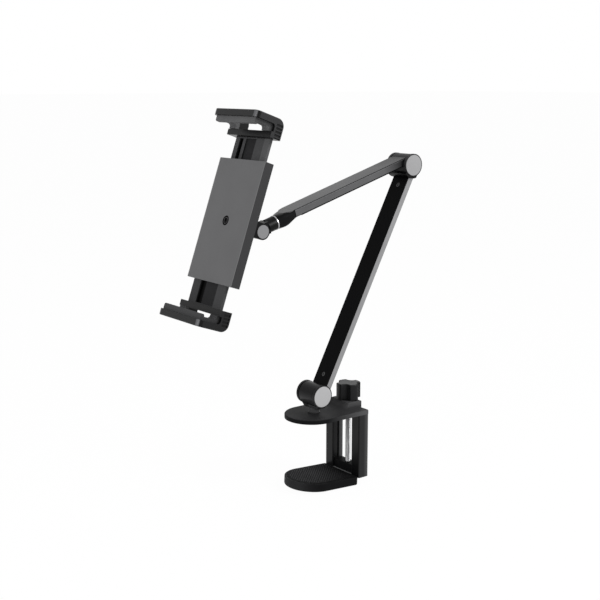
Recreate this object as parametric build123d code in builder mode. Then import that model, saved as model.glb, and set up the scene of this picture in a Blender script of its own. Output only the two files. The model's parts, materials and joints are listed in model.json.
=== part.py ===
# Desk-clamp stand for a tablet or a phone: screw clamp, two folding arms, holder with two sliding jaws.
# Millimetres, +Z up. The desk top is Z = 0, X runs along every arm hinge and -Y points over the desk.
# The origin is the centre of the round front of the clamp, on the face that rests on the desk.
import os
from math import acos, cos, pi, radians, sin, tan

from build123d import *

os.makedirs("parts", exist_ok=True)

# Clearances
running_gap = 0.05       # radial play of a pin or shaft, and play between flat faces that turn
slide_gap = 0.15         # play on each side of a sliding piece
seat_gap = 0.02          # play of a piece that is fixed in its seat
free_gap = 0.3           # air between a turning barrel and what wraps round it

# Clamp: top plate, pads and boss
plate_width = 50.0
plate_back = 48.8
plate_thickness = 3.9
plate_edge_round = 0.8
plate_corner_round = 2.0
pad_thickness = 1.5
pad_proud = 0.3
pad_inset = 2.0
boss_width = 27.0
boss_front = 33.5
boss_height = 6.4
boss_ramp = 10.0

# Clamp: column with two rails
rail_width = 11.2
column_front = 36.6
column_bottom = -60.3
rail_outer_round = 1.5
rail_back_round = 2.5
rail_edge_round = 1.0
groove_width = 2.5
groove_depth = 2.0
groove_centre = 43.2
column_flange = 3.0
bridge_height = 2.3
bridge_front = 43.0

# Clamp: lower jaw, open; its plate rises to the front, and its heights are those at the screw
jaw_width = 50.0
jaw_arc_centre = -0.2
jaw_back = 36.3
jaw_thickness = 8.0
jaw_rise = 3.2
jaw_under_round = 1.5
jaw_opening = 58.9
block_height = 8.1
block_front_gap = 2.3
block_foot_depth = 4.1
block_depth = 9.3
nut_radius = 4.2
nut_cover = 1.5

# Lead screw and knob
screw_y = 44.0
screw_radius = 2.5
knob_radius = 11.6
knob_height = 14.8
knob_lobes = 4
knob_lobe_angle = -8.0
knob_scallop_radius = 5.0
knob_scallop_depth = 3.4
knob_corner_round = 1.0
knob_screw_depth = 9.0
knob_washer_radius = 4.6
knob_washer_thickness = 0.8
circlip_radius = 4.5
circlip_thickness = 0.8
column_screw_x = 9.5

# Swivel and shoulder
swivel_y = 3.0
swivel_collar_radius = 5.6
swivel_collar_height = 0.6
swivel_washer_thickness = 0.6
swivel_bolt_radius = 2.2
swivel_head_radius = 4.0
swivel_head_height = 1.4
shoulder_height = 17.6
yoke_foot_radius = 4.8
yoke_web_depth = 9.0
yoke_web_thickness = 1.8
yoke_ear_slope = 1.5

# Hinge barrels, the same at shoulder and elbow
barrel_radius = 10.6
barrel_width = 26.0
knuckle_radius = 10.3
knuckle_width = 19.4
ear_thickness = 2.7
cap_radius = 9.6
cap_thickness = 1.2
cap_proud = 0.2
hinge_pin_radius = 3.0
hinge_washer_radius = 8.0
hinge_washer_thickness = 0.5

# Lower arm: a channel open to the front, closed by a strip
lower_lean = 27.5
lower_length = 232.0
arm_width = 20.0
arm_wall = 1.6
arm_edge_round = 1.0
strip_thickness = 1.2
lower_front = 1.5
lower_rear = 8.5
shank_length = 20.0
arm_screw_distance = 20.2
arm_screw_radius = 1.5
arm_screw_head_radius = 2.2
arm_screw_head_height = 0.9
fork_web = 1.8
fork_front = -5.0

# Upper arm: a channel open below, with a nose at the wrist end
upper_droop = 17.2
upper_length = 176.6
upper_under = 1.8
upper_top = 9.1
nose_reach = 36.6
nose_shank = 6.0
nose_belly_distance = 7.0
nose_belly_width = 17.4
nose_belly_under = -2.2
nose_belly_round = 4.0
tongue_length = 9.5
tongue_thickness = 1.2

# Wrist: roll joint in the nose, tilt joint at the bracket
roll_offset = 2.8
sleeve_radius = 6.25
nose_radius = 6.35
ring_thickness = 1.4
ring_radius = 6.55
sleeve_length = 18.4
roll_axle_radius = 3.0
roll_axle_length = 9.0
roll_groove_depth = 0.8
roll_groove_width = 2.6
set_screw_radius = 1.2
set_screw_inset = 2.75
set_screw_sink = 1.2
wrist_radius = 7.1
wrist_width = 17.4
wrist_eye_width = 10.9
wrist_ear_thickness = 3.1
wrist_cap_radius = 5.9
wrist_cap_thickness = 0.9
wrist_pin_radius = 2.2
tongue_reach = 9.6

# Holder bracket
bracket_reach = 34.4
hub_radius = 14.0
hub_thickness = 4.0
post_radius = 4.0
centre_screw_radius = 1.5
centre_head_radius = 2.5
centre_head_height = 0.8

# Holder plate
holder_lean = 19.5
holder_width = 68.0
holder_length = 107.0
holder_thickness = 8.5
holder_skin = 1.5
holder_wall = 2.0
holder_edge_round = 0.5
back_thickness = 1.1
holder_screw_x = 29.0
holder_screw_inset = 7.5
holder_screw_radius = 1.1
holder_screw_head_radius = 2.0
holder_screw_head_height = 0.5
screw_boss_radius = 2.6

# Sliders with racks, and the pinion between them
slider_width = 50.0
slider_inner_end = 30.0
tongue_tip = -30.0
tongue_outer = 24.0
channel_depth = 1.1
groove_extra = 0.9
gear_module = 1.0
pinion_teeth = 14
rack_teeth = 17
pressure_angle = 20.0
backlash = 0.25
top_grooves = ((-19.0, -13.5, channel_depth + groove_extra), (-9.5, 5.5, channel_depth))
bottom_grooves = ((-13.8, -6.5, channel_depth + groove_extra), (-6.5, 12.5, channel_depth))

# Holder jaws, at the opening in the photograph
hook_width = 64.4
hook_outer = 91.3
hook_floor = 85.6
hook_front = 20.3
hook_rear = -9.8
hook_leg_front = -0.6
hook_leg_tip = 73.9
hook_rear_round = 7.0
hook_inner_round = 2.5
hook_corner_round = 4.5
hook_edge_round = 0.8
crossbar_front = 1.2
crossbar_inner = 79.1
window_width = 38.0
window_front = 13.4
window_round = 2.5
rib_count = 4
rib_pitch = 2.9
rib_width = 1.1
rib_depth = 0.7
rib_length = 6.0
rib_start = 75.5
liner_floor = 82.7
liner_lip = 80.4
liner_front = 17.9
liner_lip_back = 14.6
liner_rear_face = 2.4
liner_inset = 3.0
liner_lip_round = 2.0
slider_overlap = 1.0
jaw_screw_x = 14.0
jaw_screw_u = 76.4
jaw_screw_radius = 1.25
jaw_screw_head_radius = 2.2
jaw_screw_head_height = 1.0

# Worked out from the sizes above
half_plate = plate_width / 2
plate_top = pad_proud + plate_thickness
boss_top = plate_top + boss_height
jaw_top = -jaw_opening - pad_proud
jaw_bottom = jaw_top - jaw_thickness
jaw_width_half = jaw_width / 2
jaw_arc = jaw_arc_centre - screw_y
jaw_rear = jaw_back - screw_y
window_half = half_plate - rail_width
swivel_seat = plate_top + swivel_collar_height
yoke_bottom = swivel_seat + swivel_washer_thickness
shoulder_z = plate_top + shoulder_height
barrel_half = barrel_width / 2
ear_inner = barrel_half - ear_thickness
arm_half = arm_width / 2
wrist_half = wrist_width / 2
slider_half = slider_width / 2
layer_depth = (holder_thickness - holder_skin - back_thickness - 3 * slide_gap) / 2
front_layer = -holder_skin - slide_gap
rear_layer = front_layer - layer_depth - slide_gap
back_inner = -holder_thickness + back_thickness
pitch_radius = gear_module * pinion_teeth / 2
channel_end = upper_length - nose_reach
nose_start = channel_end - nose_shank
nose_end = upper_length - sleeve_length - ring_thickness - running_gap
set_screw_distance = nose_end - set_screw_inset
holder_screw_u = holder_length / 2 - holder_screw_inset
liner_half = hook_width / 2 - liner_inset
slider_end = crossbar_inner - slider_overlap


def direction(degrees_from_up):
    """Unit vector in the YZ plane, leaning towards +Y from straight up."""
    return Vector(0, sin(radians(degrees_from_up)), cos(radians(degrees_from_up)))


def side_plane(pivot, along):
    """Plane seen from +X: its x runs out of the arm at right angles, its y runs along the arm."""
    return Plane(origin=pivot, x_dir=(0, along.Z, -along.Y), z_dir=(1, 0, 0))


def cross_plane(pivot, along):
    """Plane across the arm: its x is X, its y runs out of the arm at right angles."""
    return Plane(origin=pivot, x_dir=(1, 0, 0), z_dir=along)


lower_along = direction(lower_lean)
upper_along = direction(-90 - upper_droop)
upper_out = Vector(0, upper_along.Z, -upper_along.Y)
shoulder = Vector(0, swivel_y, shoulder_z)
elbow = shoulder + lower_along * lower_length
wrist = elbow + upper_along * upper_length + upper_out * roll_offset

shoulder_side = side_plane(shoulder, direction(0))
lower_side = side_plane(shoulder, lower_along)
lower_cross = cross_plane(shoulder, lower_along)
fork_side = side_plane(elbow, lower_along)
upper_side = side_plane(elbow, upper_along)
upper_cross = cross_plane(elbow, upper_along)
roll_cross = cross_plane(wrist, upper_along)
wrist_side = side_plane(wrist, upper_along)

holder_normal = Vector(0, -cos(radians(holder_lean)), sin(radians(holder_lean)))
holder_up = Vector(0, sin(radians(holder_lean)), cos(radians(holder_lean)))
plate_centre = wrist + holder_normal * bracket_reach
front_face = Plane(origin=plate_centre, x_dir=(1, 0, 0), z_dir=holder_normal)
holder_side = Plane(origin=plate_centre, x_dir=holder_normal * -1, z_dir=(1, 0, 0))


def keep(piece, name):
    """Label a finished piece and write it to its own file."""
    piece.part.label = name
    export_step(piece.part, f"parts/{name}.step")


def clamp_outline(half_width, arc_y, back_y):
    """Round-fronted outline of a clamp plate or pad, seen from above."""
    with Locations((0, arc_y)):
        Circle(half_width)
    with Locations((0, (arc_y + back_y) / 2)):
        Rectangle(2 * half_width, back_y - arc_y)


def disc_pair(plane, inner, thickness, radius, bore=0.0):
    """Two equal discs on one hinge axis, one on each side of the middle."""
    with BuildPart() as pair:
        for start in (inner, -inner - thickness):
            with BuildSketch(plane.offset(start)):
                Circle(radius)
                if bore:
                    Circle(bore, mode=Mode.SUBTRACT)
            extrude(amount=thickness)
    return pair


def centred_pin(plane, radius, half_length):
    """Round pin along a hinge axis, centred on the middle plane."""
    with BuildPart() as pin:
        with BuildSketch(plane):
            Circle(radius)
        extrude(amount=half_length, both=True)
    return pin


# Top plate of the clamp, cast with the boss that carries the screw and the collar under the swivel
with BuildPart() as top_plate:
    with BuildSketch(Plane.XY.offset(pad_proud)):
        clamp_outline(half_plate, 0, plate_back)
        fillet(vertices().group_by(Axis.Y)[-1], plate_corner_round)
    extrude(amount=plate_thickness)
    fillet(faces().sort_by(Axis.Z)[-1].edges(), plate_edge_round)
    with BuildSketch(Plane.YZ.offset(-boss_width / 2)):
        with BuildLine():
            ramp_foot = (boss_front - boss_ramp, plate_top)
            TangentArc(ramp_foot, (boss_front, boss_top), tangent=(1, 0))
            Polyline(
                (boss_front, boss_top), (plate_back, boss_top), (plate_back, pad_thickness),
                (boss_front - boss_ramp, pad_thickness), ramp_foot)
        make_face()
    extrude(amount=boss_width)
    fillet(faces().sort_by(Axis.Z)[-1].edges(), plate_edge_round)
    with BuildSketch(Plane.XY.offset(plate_top)):
        with Locations((0, swivel_y)):
            Circle(swivel_collar_radius)
    extrude(amount=swivel_collar_height)
    with BuildSketch(Plane.XY.offset(pad_proud)):
        clamp_outline(half_plate - pad_inset, 0, column_front - pad_inset)
    extrude(amount=pad_thickness - pad_proud, mode=Mode.SUBTRACT)
    with BuildSketch(Plane.XY.offset(pad_thickness)):
        with Locations((0, swivel_y)):
            Circle(swivel_head_radius + running_gap)
    extrude(amount=swivel_head_height + running_gap, mode=Mode.SUBTRACT)
    with BuildSketch(Plane.XY.offset(pad_thickness)):
        with Locations((0, swivel_y)):
            Circle(swivel_bolt_radius + running_gap)
    extrude(amount=swivel_seat, mode=Mode.SUBTRACT)
    with BuildSketch(Plane.XY):
        with Locations((0, screw_y)):
            Circle(screw_radius + running_gap)
    extrude(amount=boss_top, mode=Mode.SUBTRACT)
    with Locations((-column_screw_x, screw_y, boss_top), (column_screw_x, screw_y, boss_top)):
        CounterBoreHole(arm_screw_radius + seat_gap, arm_screw_head_radius + seat_gap, boss_height)
keep(top_plate, "clamp_top_plate")

with BuildPart() as upper_pad:
    with BuildSketch(Plane.XY):
        clamp_outline(half_plate - pad_inset - slide_gap, 0, column_front - pad_inset - slide_gap)
    extrude(amount=pad_thickness)
keep(upper_pad, "upper_desk_pad")

# Column: two rails joined by a flange at the top and a bridge at the bottom, open in the middle
with BuildPart() as column:
    with BuildSketch(Plane.XY.offset(column_bottom)):
        with Locations((half_plate - rail_width / 2, (column_front + plate_back) / 2)):
            Rectangle(rail_width, plate_back - column_front)
        fillet(vertices().group_by(Axis.X)[-1].sort_by(Axis.Y)[0], rail_outer_round)
        fillet(vertices().group_by(Axis.X)[-1].sort_by(Axis.Y)[-1], rail_back_round)
        fillet(vertices().group_by(Axis.X)[0].sort_by(Axis.Y)[0], rail_edge_round)
        with Locations((window_half + groove_depth / 2, groove_centre)):
            Rectangle(groove_depth, groove_width, mode=Mode.SUBTRACT)
        mirror(about=Plane.YZ)
    extrude(amount=pad_proud - column_bottom)
    with BuildSketch(Plane.XY.offset(pad_proud)):
        with Locations((0, (column_front + plate_back) / 2)):
            Rectangle(2 * window_half, plate_back - column_front)
    extrude(amount=-column_flange)
    with BuildSketch(Plane.XY.offset(column_bottom)):
        with Locations((0, (bridge_front + plate_back) / 2)):
            Rectangle(2 * window_half, plate_back - bridge_front)
    extrude(amount=bridge_height)
    with BuildSketch(Plane.XY.offset(pad_proud)):
        with Locations((0, screw_y)):
            Circle(screw_radius + running_gap)
        with Locations((-column_screw_x, screw_y), (column_screw_x, screw_y)):
            Circle(arm_screw_radius + seat_gap)
    extrude(amount=-column_flange, mode=Mode.SUBTRACT)
keep(column, "clamp_column")

with BuildPart() as column_screws:
    with BuildSketch(Plane.XY.offset(plate_top)):
        with Locations((-column_screw_x, screw_y), (column_screw_x, screw_y)):
            Circle(arm_screw_head_radius)
    extrude(amount=arm_screw_head_height)
    with BuildSketch(Plane.XY.offset(plate_top)):
        with Locations((-column_screw_x, screw_y), (column_screw_x, screw_y)):
            Circle(arm_screw_radius)
    extrude(amount=-plate_thickness - column_flange + free_gap)
keep(column_screws, "column_screws")

# Lower jaw: round-fronted plate whose block runs between the rails on two guide tongues
jaw_lean = radians(jaw_rise)
jaw_plane = Plane(origin=(0, screw_y, jaw_top), x_dir=(1, 0, 0), z_dir=(0, sin(jaw_lean), cos(jaw_lean)))
block_front = jaw_back + block_front_gap
block_top = jaw_top + block_height
block_under = column_bottom + bridge_height + free_gap
foot_bottom = jaw_bottom + jaw_under_round
nut_top = block_top - nut_cover
with BuildPart() as lower_jaw:
    with BuildSketch(jaw_plane.offset(-jaw_thickness)):
        clamp_outline(jaw_width_half, jaw_arc, jaw_rear)
        fillet(vertices().group_by(Axis.Y)[-1], plate_corner_round)
    extrude(amount=jaw_thickness)
    fillet(faces().sort_by(Axis.Z)[0].edges(), jaw_under_round)
    fillet(faces().sort_by(Axis.Z)[-1].edges(), plate_edge_round)
    with BuildSketch(jaw_plane):
        clamp_outline(jaw_width_half - pad_inset, jaw_arc, jaw_rear - pad_inset)
    extrude(amount=pad_proud - pad_thickness, mode=Mode.SUBTRACT)
    with BuildSketch(Plane.YZ):
        with BuildLine():
            Polyline(
                (jaw_back - pad_inset, foot_bottom), (block_front + block_foot_depth, foot_bottom),
                (block_front + block_foot_depth, block_under), (block_front + block_depth, block_under),
                (block_front + block_depth, block_top), (block_front, block_top),
                (block_front, jaw_top), (jaw_back - pad_inset / 2, jaw_top),
                (jaw_back - pad_inset, foot_bottom))
        make_face()
    extrude(amount=window_half - 2 * slide_gap, both=True)
    with BuildSketch(Plane.XY.offset(block_under)):
        with Locations((0, groove_centre)):
            Rectangle(2 * (window_half + groove_depth) - 2 * slide_gap, groove_width - 2 * slide_gap)
    extrude(amount=block_top - block_under)
    with BuildSketch(Plane.XY.offset(nut_top)):
        with Locations((0, screw_y)):
            RegularPolygon(nut_radius, 6)
    extrude(amount=block_under - nut_top, mode=Mode.SUBTRACT)
    with BuildSketch(Plane.XY.offset(foot_bottom)):
        with Locations((0, screw_y)):
            Circle(screw_radius + free_gap)
    extrude(amount=block_top - foot_bottom, mode=Mode.SUBTRACT)
keep(lower_jaw, "clamp_lower_jaw")

with BuildPart() as lower_pad:
    with BuildSketch(jaw_plane.offset(pad_proud)):
        clamp_outline(jaw_width_half - pad_inset - slide_gap, jaw_arc, jaw_rear - pad_inset - slide_gap)
    extrude(amount=-pad_thickness)
keep(lower_pad, "lower_desk_pad")

with BuildPart() as jaw_nut:
    with BuildSketch(Plane.XY.offset(nut_top - seat_gap)):
        with Locations((0, screw_y)):
            RegularPolygon(nut_radius - seat_gap, 6)
            Circle(screw_radius + running_gap, mode=Mode.SUBTRACT)
    extrude(amount=block_under - nut_top + seat_gap)
keep(jaw_nut, "lower_jaw_nut")

# Lead screw, the washer under the knob, the clip under the flange, and the four-lobed knob
knob_bottom = boss_top + knob_washer_thickness + running_gap
circlip_top = pad_proud - column_flange - running_gap
with BuildPart() as lead_screw:
    with BuildSketch(Plane.XY.offset(block_under)):
        with Locations((0, screw_y)):
            Circle(screw_radius)
    extrude(amount=knob_bottom + knob_screw_depth - block_under)
    chamfer(edges().sort_by(Axis.Z)[0], screw_radius / 4)
keep(lead_screw, "lead_screw")

with BuildPart() as knob_washer:
    with BuildSketch(Plane.XY.offset(boss_top)):
        with Locations((0, screw_y)):
            Circle(knob_washer_radius)
            Circle(screw_radius + running_gap, mode=Mode.SUBTRACT)
    extrude(amount=knob_washer_thickness)
keep(knob_washer, "knob_washer")

with BuildPart() as circlip:
    with BuildSketch(Plane.XY.offset(circlip_top)):
        with Locations((0, screw_y)):
            Circle(circlip_radius)
            Circle(screw_radius + seat_gap, mode=Mode.SUBTRACT)
    extrude(amount=-circlip_thickness)
keep(circlip, "screw_circlip")

with BuildPart() as knob:
    with BuildSketch(Plane.XY.offset(knob_bottom)):
        with Locations((0, screw_y)):
            Circle(knob_radius)
            with PolarLocations(
                knob_radius + knob_scallop_radius - knob_scallop_depth, knob_lobes,
                start_angle=knob_lobe_angle + 180 / knob_lobes):
                Circle(knob_scallop_radius, mode=Mode.SUBTRACT)
        fillet(vertices(), knob_corner_round)
    extrude(amount=knob_height)
    fillet(faces().sort_by(Axis.Z)[-1].edges(), knob_corner_round)
    with BuildSketch(Plane.XY.offset(knob_bottom)):
        with Locations((0, screw_y)):
            Circle(screw_radius + seat_gap)
    extrude(amount=knob_screw_depth + seat_gap, mode=Mode.SUBTRACT)
keep(knob, "clamp_knob")

# Swivel: friction washer, bolt from below, and the yoke that carries the shoulder hinge
with BuildPart() as swivel_washer:
    with BuildSketch(Plane.XY.offset(swivel_seat)):
        with Locations((0, swivel_y)):
            Circle(swivel_collar_radius)
            Circle(swivel_bolt_radius + running_gap, mode=Mode.SUBTRACT)
    extrude(amount=swivel_washer_thickness - running_gap)
keep(swivel_washer, "swivel_washer")

bolt_reach = shoulder_z - knuckle_radius - free_gap - 0.4
with BuildPart() as swivel_bolt:
    with BuildSketch(Plane.XY.offset(pad_thickness + running_gap)):
        with Locations((0, swivel_y)):
            Circle(swivel_head_radius)
    extrude(amount=swivel_head_height - running_gap)
    with BuildSketch(Plane.XY.offset(pad_thickness + running_gap)):
        with Locations((0, swivel_y)):
            Circle(swivel_bolt_radius)
    extrude(amount=bolt_reach - pad_thickness - running_gap)
keep(swivel_bolt, "swivel_bolt")

web_top = -knuckle_radius - free_gap
ear_bottom = shoulder_z - barrel_radius + yoke_ear_slope
with BuildPart() as yoke:
    with BuildSketch(shoulder_side.offset(-barrel_half)):
        with Locations((0, (web_top - yoke_web_thickness) / 2)):
            Rectangle(yoke_web_depth, yoke_web_thickness - web_top)
        Circle(barrel_radius)
    extrude(amount=barrel_width)
    with BuildSketch(Plane.XZ.offset(-swivel_y)):
        with BuildLine():
            Polyline(
                (-yoke_foot_radius, yoke_bottom), (yoke_foot_radius, yoke_bottom),
                (barrel_half, ear_bottom), (barrel_half, shoulder_z + barrel_radius),
                (-barrel_half, shoulder_z + barrel_radius), (-barrel_half, ear_bottom),
                (-yoke_foot_radius, yoke_bottom))
        make_face()
    extrude(amount=2 * barrel_radius, both=True, mode=Mode.INTERSECT)
    with BuildSketch(Plane.XY.offset(yoke_bottom)):
        with Locations((0, swivel_y)):
            Circle(yoke_foot_radius)
    extrude(amount=shoulder_z - yoke_bottom + web_top + free_gap)
    with BuildSketch(shoulder_side):
        Circle(knuckle_radius + free_gap)
        with Locations((0, barrel_radius)):
            Rectangle(2 * barrel_radius, 2 * barrel_radius)
    extrude(amount=ear_inner, both=True, mode=Mode.SUBTRACT)
    with BuildSketch(shoulder_side.offset(-barrel_half)):
        Circle(hinge_pin_radius + seat_gap)
    extrude(amount=barrel_width, mode=Mode.SUBTRACT)
    for start in (barrel_half - cap_thickness + cap_proud, -barrel_half):
        with BuildSketch(shoulder_side.offset(start)):
            Circle(cap_radius + seat_gap)
        extrude(amount=cap_thickness - cap_proud, mode=Mode.SUBTRACT)
    with BuildSketch(Plane.XY.offset(yoke_bottom)):
        with Locations((0, swivel_y)):
            Circle(swivel_bolt_radius + seat_gap)
    extrude(amount=bolt_reach - yoke_bottom, mode=Mode.SUBTRACT)
keep(yoke, "shoulder_yoke")

pin_half = barrel_half - cap_thickness + cap_proud - seat_gap
washer_inner = knuckle_width / 2 + running_gap
keep(centred_pin(shoulder_side, hinge_pin_radius, pin_half), "shoulder_pin")
cap_inner = barrel_half - cap_thickness + cap_proud
keep(disc_pair(shoulder_side, cap_inner, cap_thickness, cap_radius), "shoulder_caps")
keep(disc_pair(shoulder_side, washer_inner, hinge_washer_thickness, hinge_washer_radius,
               hinge_pin_radius + running_gap), "shoulder_washers")

# Lower arm: knuckle block, channel, strip, fork block and the two screws through the strip
shank_half = arm_half - arm_wall - seat_gap
shank_front = lower_front + strip_thickness + seat_gap
shank_rear = lower_rear - arm_wall - seat_gap


def knuckle_block(side, front, rear):
    """Hinge barrel with the shank that goes into the end of an arm's channel."""
    with BuildPart() as block:
        with BuildSketch(side):
            with Locations(((front + rear) / 2, shank_length * 0.75)):
                Rectangle(rear - front, shank_length * 1.5)
        extrude(amount=shank_half, both=True)
        with BuildSketch(side):
            Circle(knuckle_radius)
        extrude(amount=knuckle_width / 2, both=True)
        with BuildSketch(side):
            Circle(hinge_pin_radius + running_gap)
        extrude(amount=knuckle_width / 2, both=True, mode=Mode.SUBTRACT)
        with BuildSketch(Plane(side.from_local_coords((front, arm_screw_distance, 0)), x_dir=(1, 0, 0),
                               z_dir=side.x_dir)):
            Circle(arm_screw_radius + seat_gap)
        extrude(amount=rear - front, mode=Mode.SUBTRACT)
    return block


lower_knuckle = knuckle_block(lower_side, shank_front, shank_rear)
keep(lower_knuckle, "lower_arm_knuckle")

fork_outer = knuckle_radius + free_gap + fork_web
with BuildPart() as lower_channel:
    with BuildSketch(lower_cross):
        with Locations((0, (lower_front + strip_thickness + lower_rear) / 2)):
            Rectangle(arm_width, lower_rear - lower_front - strip_thickness)
        fillet(vertices().group_by(Axis.Y)[-1], arm_edge_round)
        with Locations((0, (lower_front + strip_thickness + lower_rear - arm_wall) / 2)):
            Rectangle(arm_width - 2 * arm_wall, lower_rear - lower_front - strip_thickness - arm_wall,
                      mode=Mode.SUBTRACT)
    extrude(amount=lower_length)
    with BuildSketch(lower_side):
        Circle(knuckle_radius + seat_gap)
        with Locations((0, lower_length)):
            Circle(fork_outer + seat_gap)
    extrude(amount=arm_width, both=True, mode=Mode.SUBTRACT)
keep(lower_channel, "lower_arm_channel")


def front_hole_plane(distance):
    """Plane on the strip's outer face, facing out of it, at a distance from the shoulder."""
    return Plane(lower_side.from_local_coords((lower_front, distance, 0)), x_dir=(1, 0, 0),
                 z_dir=lower_side.x_dir * -1)


lower_screw_places = (arm_screw_distance, lower_length - arm_screw_distance)
with BuildPart() as lower_strip:
    with BuildSketch(lower_cross):
        with Locations((0, lower_front + strip_thickness / 2)):
            Rectangle(arm_width, strip_thickness)
        fillet(vertices().group_by(Axis.Y)[0], strip_thickness / 3)
    extrude(amount=lower_length)
    with BuildSketch(lower_side):
        Circle(knuckle_radius + seat_gap)
        with Locations((0, lower_length)):
            Circle(fork_outer + seat_gap)
    extrude(amount=arm_width, both=True, mode=Mode.SUBTRACT)
    for distance in lower_screw_places:
        with BuildSketch(front_hole_plane(distance)):
            Circle(arm_screw_head_radius + seat_gap)
        extrude(amount=-strip_thickness, mode=Mode.SUBTRACT)
keep(lower_strip, "lower_arm_strip")

with BuildPart() as lower_screws:
    for distance in lower_screw_places:
        with BuildSketch(front_hole_plane(distance).offset(-strip_thickness)):
            Circle(arm_screw_head_radius)
        extrude(amount=arm_screw_head_height)
        with BuildSketch(front_hole_plane(distance).offset(-strip_thickness)):
            Circle(arm_screw_radius)
        extrude(amount=lower_front + strip_thickness - shank_rear + free_gap)
keep(lower_screws, "lower_arm_screws")

with BuildPart() as fork:
    with BuildSketch(fork_side):
        with BuildLine():
            Polyline((fork_front, 0), (fork_front, -fork_outer), (lower_rear, -fork_outer), (lower_rear, 0),
                     (fork_front, 0))
        make_face()
        Circle(fork_outer, mode=Mode.INTERSECT)
        Circle(barrel_radius)
    extrude(amount=barrel_half, both=True)
    with BuildSketch(fork_side):
        Circle(knuckle_radius + free_gap)
        with Locations((0, barrel_radius)):
            Rectangle(4 * barrel_radius, 2 * barrel_radius)
    extrude(amount=ear_inner, both=True, mode=Mode.SUBTRACT)
    with BuildSketch(fork_side):
        with Locations(((shank_front + shank_rear) / 2, -shank_length * 0.75)):
            Rectangle(shank_rear - shank_front, shank_length * 1.5)
    extrude(amount=shank_half, both=True)
    with BuildSketch(fork_side):
        Circle(knuckle_radius + free_gap)
    extrude(amount=ear_inner, both=True, mode=Mode.SUBTRACT)
    with BuildSketch(fork_side.offset(-barrel_half)):
        Circle(hinge_pin_radius + seat_gap)
    extrude(amount=barrel_width, mode=Mode.SUBTRACT)
    for start in (barrel_half - cap_thickness + cap_proud, -barrel_half):
        with BuildSketch(fork_side.offset(start)):
            Circle(cap_radius + seat_gap)
        extrude(amount=cap_thickness - cap_proud, mode=Mode.SUBTRACT)
    with BuildSketch(front_hole_plane(lower_screw_places[1]).offset(-strip_thickness)):
        Circle(arm_screw_radius + seat_gap)
    extrude(amount=shank_front - shank_rear, mode=Mode.SUBTRACT)
keep(fork, "elbow_fork")

keep(centred_pin(fork_side, hinge_pin_radius, pin_half), "elbow_pin")
keep(disc_pair(fork_side, cap_inner, cap_thickness, cap_radius), "elbow_caps")
keep(disc_pair(fork_side, washer_inner, hinge_washer_thickness, hinge_washer_radius,
               hinge_pin_radius + running_gap), "elbow_washers")

# Upper arm: eye block, channel with a rounded tongue, strip below, nose and screws
upper_shank_under = upper_under + strip_thickness + seat_gap
upper_shank_top = upper_top - arm_wall - seat_gap
elbow_eye = knuckle_block(upper_side, upper_shank_under, upper_shank_top)
keep(elbow_eye, "elbow_eye")

tongue_plane = Plane(upper_side.from_local_coords((upper_top - tongue_thickness, channel_end, 0)),
                     x_dir=(1, 0, 0), z_dir=upper_out)
with BuildPart() as upper_channel:
    with BuildSketch(upper_cross):
        with Locations((0, (upper_under + strip_thickness + upper_top) / 2)):
            Rectangle(arm_width, upper_top - upper_under - strip_thickness)
        fillet(vertices().group_by(Axis.Y)[-1], arm_edge_round)
        with Locations((0, (upper_under + strip_thickness + upper_top - arm_wall) / 2)):
            Rectangle(arm_width - 2 * arm_wall, upper_top - upper_under - strip_thickness - arm_wall,
                      mode=Mode.SUBTRACT)
    extrude(amount=channel_end)
    with BuildSketch(upper_side):
        Circle(knuckle_radius + seat_gap)
    extrude(amount=arm_width, both=True, mode=Mode.SUBTRACT)
    with BuildSketch(tongue_plane):
        Ellipse(arm_half - arm_edge_round, tongue_length)
    extrude(amount=tongue_thickness - seat_gap)
keep(upper_channel, "upper_arm_channel")

with BuildPart() as upper_strip:
    with BuildSketch(upper_cross):
        with Locations((0, upper_under + strip_thickness / 2)):
            Rectangle(arm_width, strip_thickness)
        fillet(vertices().group_by(Axis.Y)[0], strip_thickness / 3)
    extrude(amount=nose_start)
    with BuildSketch(upper_side):
        Circle(knuckle_radius + seat_gap)
    extrude(amount=arm_width, both=True, mode=Mode.SUBTRACT)
keep(upper_strip, "upper_arm_strip")

set_screw_plane = Plane(
    upper_side.from_local_coords((roll_offset - nose_radius + set_screw_sink, set_screw_distance, 0)),
    x_dir=(1, 0, 0), z_dir=upper_out)
with BuildPart() as nose:
    with BuildSketch(upper_cross.offset(channel_end + seat_gap)):
        with Locations((0, (upper_under + upper_top) / 2)):
            RectangleRounded(arm_width - 2 * seat_gap, upper_top - upper_under, arm_wall)
    with BuildSketch(upper_cross.offset(channel_end + nose_belly_distance)):
        with Locations((0, (nose_belly_under + upper_top) / 2)):
            RectangleRounded(nose_belly_width, upper_top - nose_belly_under, nose_belly_round)
    with BuildSketch(upper_cross.offset(nose_end)):
        with Locations((0, roll_offset)):
            Circle(nose_radius)
    loft()
    with BuildSketch(upper_cross.offset(nose_start + seat_gap)):
        with Locations((0, (upper_under + upper_shank_top) / 2)):
            Rectangle(2 * shank_half, upper_shank_top - upper_under)
    extrude(amount=channel_end - nose_start)
    with BuildSketch(tongue_plane.offset(-seat_gap)):
        Ellipse(arm_half - arm_edge_round + seat_gap, tongue_length + seat_gap)
    extrude(amount=2 * tongue_thickness, mode=Mode.SUBTRACT)
    with BuildSketch(roll_cross.offset(-sleeve_length)):
        Circle(roll_axle_radius + running_gap)
    extrude(amount=-roll_axle_length - running_gap, mode=Mode.SUBTRACT)
    with BuildSketch(set_screw_plane):
        Circle(set_screw_radius + seat_gap)
    extrude(amount=roll_axle_radius, both=True, mode=Mode.SUBTRACT)
keep(nose, "upper_arm_nose")

with BuildPart() as set_screw:
    with BuildSketch(set_screw_plane):
        Circle(set_screw_radius)
    extrude(amount=nose_radius - set_screw_sink - roll_axle_radius + roll_groove_depth - running_gap)
keep(set_screw, "nose_set_screw")

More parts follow.
